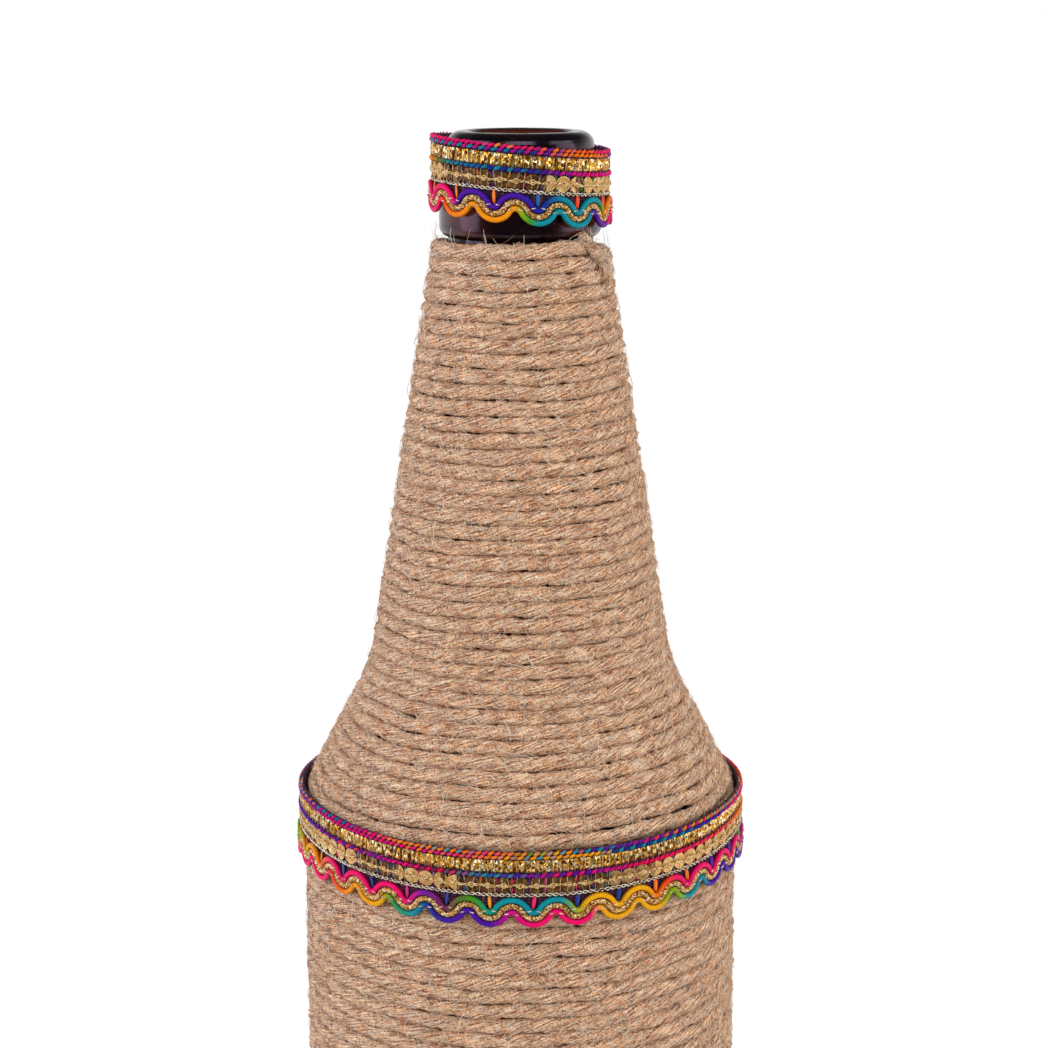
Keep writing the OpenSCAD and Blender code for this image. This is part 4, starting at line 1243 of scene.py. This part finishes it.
for number, trim in enumerate(TRIMS):
    seed = number * 40
    made = []
    net, around = net_band(trim, NET)
    made.append((net, "trim_net", "net_band"))

    middle_yarn = viscose(trim.name + "_middle_viscose", *MIDDLE_DYES[trim.name])
    # Even numbers, so that two dyes take turns all the way round.
    count = 2 * (trim.count(STITCH_STEP) // 2)
    lobes = 2 * (trim.count(LOBE_STEP) // 2)
    for row, drop in enumerate(TOP_EDGING_ROWS):
        edging_yarn = viscose(trim.name + "_edging_viscose_" + str(row + 1),
                              *EDGING_DYES[trim.name][row])
        stitches = ring_of(trim, "top_edging_row_" + str(row + 1),
                           chain_stitch(1.1 * LOBE_STEP, 0.5 * MM, 0.16 * MM), lobes, drop,
                           BAND_AWAY + (0.3 + 0.1 * row) * MM, edging_yarn, Lean=0.18, Tilt=0.2,
                           Start=row * math.pi / lobes, Seed=seed + row)
        made.append((stitches, "pink_cord", "top_edging"))
    stitches = ring_of(trim, "middle_edging_stitches",
                       chain_stitch(1.15 * LOBE_STEP, 0.56 * MM, 0.18 * MM), lobes,
                       MIDDLE_EDGING_DROP, BAND_AWAY + 0.42 * MM, middle_yarn, Lean=0.18, Tilt=0.2,
                       Seed=seed + 2)
    made.append((stitches, "indigo_cord", "middle_edging"))

    facets = ring_of(trim, "foil_facets", foil_facet(), trim.count(FACET_STEP), TAPE_DROP,
                     BAND_AWAY + 0.02 * MM, FOIL, Lean=0.03, Tilt=0.1, Seed=seed + 3)
    made.append((facets, "gold_foil", "gold_tape"))
    upright = [((0, 0, 1.15 * MM), 0.05 * MM), ((0.06 * MM, 0, 0), 0.06 * MM),
               ((0, 0, -1.15 * MM), 0.05 * MM)]
    upright = thread_mesh("tape_thread", [(upright, False)], 4)
    threads = ring_of(trim, "tape_threads", upright, count, TAPE_DROP, BAND_AWAY + 0.5 * MM, PALE_GOLD,
                      Lean=0.14, Seed=seed + 4)
    made.append((threads, "gold_thread", "gold_tape"))

    film = sequin_film(trim.name + "_sequin_film", SEQUIN_REFLECTIONS[trim.name])
    sequins = ring_of(trim, "sequin_discs", sequin(), trim.count(SEQUIN_STEP), SEQUIN_DROP,
                      BAND_AWAY + 0.06 * MM, film, Lean=3.0, Tilt=0.13, Seed=seed + 5)
    made.append((sequins, "sequin", "sequins"))
    gap_end = [((0, 0, z * MM), r * MM) for z, r in ((1.6, 0.08), (0.8, 0.16), (-0.6, 0.15),
                                                     (-1.6, 0.08))]
    gap_end = thread_mesh("gap_end", [(gap_end, False)], 5)
    ends = ring_of(trim, "ends_between_sequins", gap_end, trim.count(SEQUIN_STEP), SEQUIN_DROP,
                   BAND_AWAY + 0.1 * MM, DYED_ENDS, Lean=0.25, Seed=seed + 6,
                   Start=math.pi / trim.count(SEQUIN_STEP))
    made.append((ends, "orange_cord", "tie_threads"))
    crossing = [((0, 0, 1.55 * MM), 0.05 * MM), ((0.1 * MM, 0, 0.2 * MM), 0.06 * MM),
                ((0, 0, -1.55 * MM), 0.05 * MM)]
    crossing = thread_mesh("crossing_thread", [(crossing, False)], 4)
    threads = ring_of(trim, "crossing_threads", crossing, count, SEQUIN_DROP, BAND_AWAY + 0.42 * MM,
                      PALE_GOLD, Lean=0.3, Seed=seed + 7)
    made.append((threads, "gold_thread", "sequin_chain"))

    # The thread that holds the sequins: a coil at each hole and two strands on to the next.
    coil = [((0.5 * MM + 0.1 * MM * math.sin(a * 0.5), 0.4 * MM * math.cos(a),
              0.4 * MM * math.sin(a)), 0.14 * MM) for a in (math.tau * k / 10 for k in range(13))]
    strands = [[((0.56 * MM + 0.12 * MM * math.cos(t * math.tau + p), t * SEQUIN_STEP,
                  0.15 * MM * math.sin(t * math.tau + p)), 0.13 * MM)
                for t in (k / 8 - 0.5 for k in range(9))] for p in (0, math.pi)]
    link = thread_mesh("sequin_link", [(coil, False)] + [(strand, False) for strand in strands], 5)
    chain = ring_of(trim, "sequin_links", link, trim.count(SEQUIN_STEP), SEQUIN_DROP, BAND_AWAY,
                    PALE_GOLD, Lean=0.16, Seed=seed + 8)
    made.append((chain, "gold_thread", "sequin_chain"))

    level = trim.level(SILVER_DROP, BAND_AWAY + 0.4 * MM, 0.16 * MM)
    plies = loops_mesh("silver_line", twisted(level, 2.1 * MM, 0.24 * MM, 0.14 * MM))
    silver = grow(trim.name + "_silver_line", laid_thread, plies, Thickness=0.23 * MM, Sides=6,
                  Finish=SILVER_YARN)
    made.append((silver, "silver_thread", "silver_thread"))

    for part, side, dyes, paint in (("upper_scallop", 1, UPPER_DYES, "teal_cord"),
                                    ("lower_scallop", -1, LOWER_DYES, "orange_cord")):
        satin = viscose(trim.name + "_" + part + "_viscose", dyes[trim.name], ridge=0.42 * MM)
        line = loops_mesh(part, [trim.wave(side * CORD_OFFSET, CORD_AWAY, CORD_STEPS)],
                          trim.pinched(side, CORD_STEPS))
        cord = grow(trim.name + "_" + part, laid_thread, line, Thickness=2 * CORD_RADIUS, Sides=12,
                    Finish=satin)
        made.append((cord, paint, part + "_cord"))
    wave = trim.wave(0, CORD_AWAY + 0.15 * MM, BRAID_STEPS)
    plaited = loops_mesh("gold_braid", twisted(wave, 1.6 * MM, 0.36 * MM, 0.16 * MM, beats=2,
                                               phases=3))
    braid = grow(trim.name + "_gold_braid", laid_thread, plaited, Thickness=0.42 * MM, Sides=5,
                 Finish=GOLD_YARN)
    made.append((braid, "gold_thread", "gold_wave_braid"))

    # Where the upper cord dips, an almond of dyed thread pulls it up to the silver line, and
    # silver stitches hold the cords to each other at every dip and crest.
    halves = [[((0.08 * MM * s, s * 0.12 * MM, z * MM), r * MM)
               for z, r in ((1.15, 0.08), (0.6, 0.17), (0, 0.21), (-0.6, 0.17), (-1.2, 0.07))]
              for s in (-1, 1)]
    almond = thread_mesh("almond", [(half, False) for half in halves], 6)
    step = math.tau / trim.scallops
    ties = ring_of(trim, "ties", almond, trim.scallops, ALMOND_DROP, BAND_AWAY + 0.45 * MM,
                   DYED_ENDS, Lean=0.22, Seed=seed + 9, Start=trim.turn + 0.75 * step)
    made.append((ties, "orange_cord", "tie_threads"))
    arches = [[((0.0, y0 * MM, z0 * MM), 0.09 * MM),
               ((0.16 * MM, (y0 + y1) / 2 * MM, (z0 + z1) / 2 * MM), 0.11 * MM),
               ((0.0, y1 * MM, z1 * MM), 0.09 * MM)]
              for y0, z0, y1, z1 in ((-1.25, 0.05, -0.5, 0.2), (0.5, 0.2, 1.25, 0.05))]
    tack = thread_mesh("tack_stitch", [(arch, False) for arch in arches], 5)
    for part, share, drop in (("dip_tacks", 0.75, WAVE_DROP - TACK_SHIFT),
                              ("crest_tacks", 0.25, WAVE_DROP + TACK_SHIFT)):
        tacks = ring_of(trim, part, tack, trim.scallops, drop, CORD_AWAY + CORD_RADIUS - 0.02 * MM,
                        SILVER_YARN, Lean=0.12, Seed=seed + 10, Start=trim.turn + share * step)
        made.append((tacks, "silver_thread", "silver_thread"))

    for piece, paint, node in made:
        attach(piece, "bottle")
        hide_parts(trim.name + "_" + node)


# The message: a sheet of rag paper, 148 by 148 mm and browned at its edges, rolled up and standing
# inside the bottle. Its written side would be inward, so the outside is blank.

PAPER = 0.2 * MM
ROLL_REACH = 5.5 * MM                   # to the middle of the outer turn
ROLL_TURNS = 5.5
ROLL_STEP = 0.45 * MM
ROLL_START = 2.1                        # radians round the bottle to its inner edge
ROLL_FOOT, ROLL_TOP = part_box("message_scroll")[0][2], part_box("message_scroll")[1][2]


def rag_paper():
    """Handmade rag paper, matt and mottled in clouds some 20 mm across, with foxed brown spots some
    2 mm apart and darker, worn edges."""
    material, tree, shader = new_material("aged_rag_paper", Roughness=0.88, Specular_IOR_Level=0.25)
    sheet = add_node(tree, "ShaderNodeUVMap", uv_map="sheet").outputs["UV"]
    cloud = add_node(tree, "ShaderNodeTexNoise", {"Vector": sheet, "Scale": 45.0, "Detail": 5.0})
    tone = add_node(tree, "ShaderNodeValToRGB", {"Fac": cloud},
                    [(0.3, "#c3a778"), (0.48, "#d6c298"), (0.7, "#e2d3b0")])
    specks = add_node(tree, "ShaderNodeTexNoise", {"Vector": sheet, "Scale": 420.0, "Detail": 2.0})
    foxed = add_node(tree, "ShaderNodeMapRange", {"Value": specks, "From Min": 0.66, "From Max": 0.76,
                                                  "To Max": 0.55})
    tone = add_node(tree, "ShaderNodeMix", {"Factor": foxed, "A": tone, "B": linear("#8f6236")},
                    data_type="RGBA")
    inset = add_node(tree, "ShaderNodeAttribute", attribute_name="inset").outputs["Fac"]
    ragged = add_node(tree, "ShaderNodeMath", {0: cloud, 1: 9 * MM, 2: -4.5 * MM},
                      operation="MULTIPLY_ADD")
    ragged = add_node(tree, "ShaderNodeMath", {0: inset, 1: ragged}, operation="ADD")
    worn = add_node(tree, "ShaderNodeMapRange", {"Value": ragged, "From Max": 6 * MM, "To Min": 0.75,
                                                 "To Max": 0.0})
    tone = add_node(tree, "ShaderNodeMix", {"Factor": worn, "A": tone, "B": linear("#7d522a")},
                    data_type="RGBA")
    # Rag fibres are drawn 0.4 mm wide.
    grain = add_node(tree, "ShaderNodeTexNoise", {"Vector": sheet, "Scale": 2400.0, "Detail": 3.0})
    bump = add_node(tree, "ShaderNodeBump", {"Height": grain, "Strength": 0.5, "Distance": 0.08 * MM})
    join(tree, shader, {"Base Color": tone, "Normal": bump})
    return material


def rolled_sheet(material):
    """The sheet as a closed spiral shell. It is laid out flat, in metres, on the UV map, and inset is
    the distance to its nearest edge. Its turns stand a little out of line at the two ends."""
    columns, rows = round(ROLL_TURNS * 26), 30
    height = ROLL_TOP - ROLL_FOOT
    around = [0.0]
    places = []
    for i in range(columns + 1):
        turn = ROLL_TURNS * i / columns
        angle = ROLL_START + turn * math.tau
        reach = ROLL_REACH - ROLL_STEP * (ROLL_TURNS - turn)
        places.append((reach, angle))
        if i:
            around.append(around[-1] + math.tau * ROLL_TURNS / columns * reach)
    vertices, laid = [], []
    for face in (PAPER / 2, -PAPER / 2):
        for i, (reach, angle) in enumerate(places):
            turn = ROLL_TURNS * i / columns
            slip = 0.55 * MM * noise.noise(Vector((turn * 0.9, 3.3, 0)))
            for j in range(rows + 1):
                share = j / rows
                edge = abs(2 * share - 1) ** 6
                lift = 0.06 * MM * noise.noise(Vector((turn * 1.3, share * 9, 8.1)))
                r = reach + face + lift
                shift = (slip - 0.6 * MM) * edge
                z = ROLL_FOOT + height * share + (shift if share > 0.5 else -shift)
                vertices.append((r * math.cos(angle), r * math.sin(angle), z))
                laid.append((around[i], height * share))
    row = rows + 1
    inner = row * (columns + 1)
    faces = []
    for i in range(columns):
        for j in range(rows):
            a, b = i * row + j, (i + 1) * row + j
            faces.append((a, b, b + 1, a + 1))
            faces.append((inner + a, inner + a + 1, inner + b + 1, inner + b))
    for i in range(columns):
        a, b = i * row, (i + 1) * row
        faces.append((a, inner + a, inner + b, b))
        faces.append((a + rows, b + rows, inner + b + rows, inner + a + rows))
    for j in range(rows):
        faces.append((j, j + 1, inner + j + 1, inner + j))
        last = columns * row + j
        faces.append((last, inner + last, inner + last + 1, last + 1))
    mesh = bpy.data.meshes.new("message_sheet")
    mesh.from_pydata(vertices, [], faces)
    flat = mesh.uv_layers.new(name="sheet")
    for loop in mesh.loops:
        flat.data[loop.index].uv = laid[loop.vertex_index]
    inset = [min(x, around[-1] - x, z, height - z) for x, z in laid]
    mesh.attributes.new("inset", "FLOAT", "POINT").data.foreach_set("value", inset)
    mesh.materials.append(material)
    mesh.shade_smooth()
    return put_in(mesh.name, mesh)


message = rolled_sheet(rag_paper())
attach(message, "message")
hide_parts("message_scroll")


# The tie round the message: two turns of two-ply red cotton, drawn tight round the middle of the
# roll and knotted in front, with two short ends. It travels with the roll.

TIE_REACH = 6.15 * MM
TIE_STRAND = 0.3 * MM                   # radius of a ply
TIE_TWIST = 0.22 * MM                   # from the thread's middle to a ply's
TIE_LAY = 1.6 * MM                      # length of one twist of the plies
KNOT_REACH = 6.75 * MM
TIE_HEIGHT = sum(corner[2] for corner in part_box("message_tie")) / 2


def cotton():
    """Mercerised cotton, deep red. Its fluff is drawn in flecks 0.3 mm apart, so that it shows."""
    material, tree, shader = new_material("red_two_ply_cotton", Roughness=0.75,
                                          Specular_IOR_Level=0.3, Sheen_Weight=0.3)
    place = add_node(tree, "ShaderNodeTexCoord").outputs["Object"]
    fluff = add_node(tree, "ShaderNodeTexNoise", {"Vector": place, "Scale": 3000.0, "Detail": 2.0})
    tone = add_node(tree, "ShaderNodeValToRGB", {"Fac": fluff},
                    [(0.3, "#5f1512"), (0.5, "#932a22"), (0.7, "#b8483a")])
    bump = add_node(tree, "ShaderNodeBump", {"Height": fluff, "Strength": 0.5, "Distance": 0.08 * MM})
    join(tree, shader, {"Base Color": tone, "Normal": bump})
    return material


def tie_lines():
    """Both turns, the knot and the ends, as the middle lines of two-ply thread."""
    front = -math.pi / 2
    lines = []
    for level in (-0.55 * MM, 0.55 * MM):
        lines.append(([Vector((TIE_REACH * math.cos(a), TIE_REACH * math.sin(a), TIE_HEIGHT + level))
                       for a in (math.tau * k / 96 for k in range(96))], True))
    knot = []
    for k in range(25):
        a = math.tau * k / 12
        knot.append(Vector((0.62 * MM * math.cos(a) + 0.2 * MM * math.sin(a * 0.5),
                            -KNOT_REACH - 0.22 * MM * math.cos(a * 0.5 + 1),
                            TIE_HEIGHT + 0.95 * MM * math.sin(a))))
    lines.append((knot, False))
    for side in (-1, 1):
        end = []
        for k in range(13):
            run = k / 12
            a = front + side * (0.06 + 0.55 * run)
            reach = KNOT_REACH + 0.25 * MM * (math.sin(run * 5) - run)
            end.append(Vector((reach * math.cos(a), reach * math.sin(a),
                               TIE_HEIGHT - (0.4 + (5.2 + side) * run ** 1.3) * MM)))
        lines.append((end, False))
    return lines


def two_ply(line, closed):
    """Two strands twisted together along a line."""
    strands, run = ([], []), 0.0
    for i, here in enumerate(line):
        before = line[i - 1] if closed or i else here
        after = line[(i + 1) % len(line)] if closed or i < len(line) - 1 else here
        along = (after - before).normalized()
        out = Vector((here.x, here.y, 0)).normalized()
        side = along.cross(out).normalized()
        for ply, strand in enumerate(strands):
            turn = run / TIE_LAY * math.tau + ply * math.pi
            strand.append((here + (side * math.sin(turn) + out * math.cos(turn)) * TIE_TWIST,
                           TIE_STRAND))
        run += (after - here).length if i < len(line) - 1 else 0
    return [(strand, closed) for strand in strands]


tie_mesh = thread_mesh("message_tie", [ply for line, closed in tie_lines()
                                       for ply in two_ply(line, closed)], 6)
tie_mesh.materials.append(cotton())
message_tie = put_in("message_tie_thread", tie_mesh)
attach(message_tie, "message")
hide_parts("message_tie")
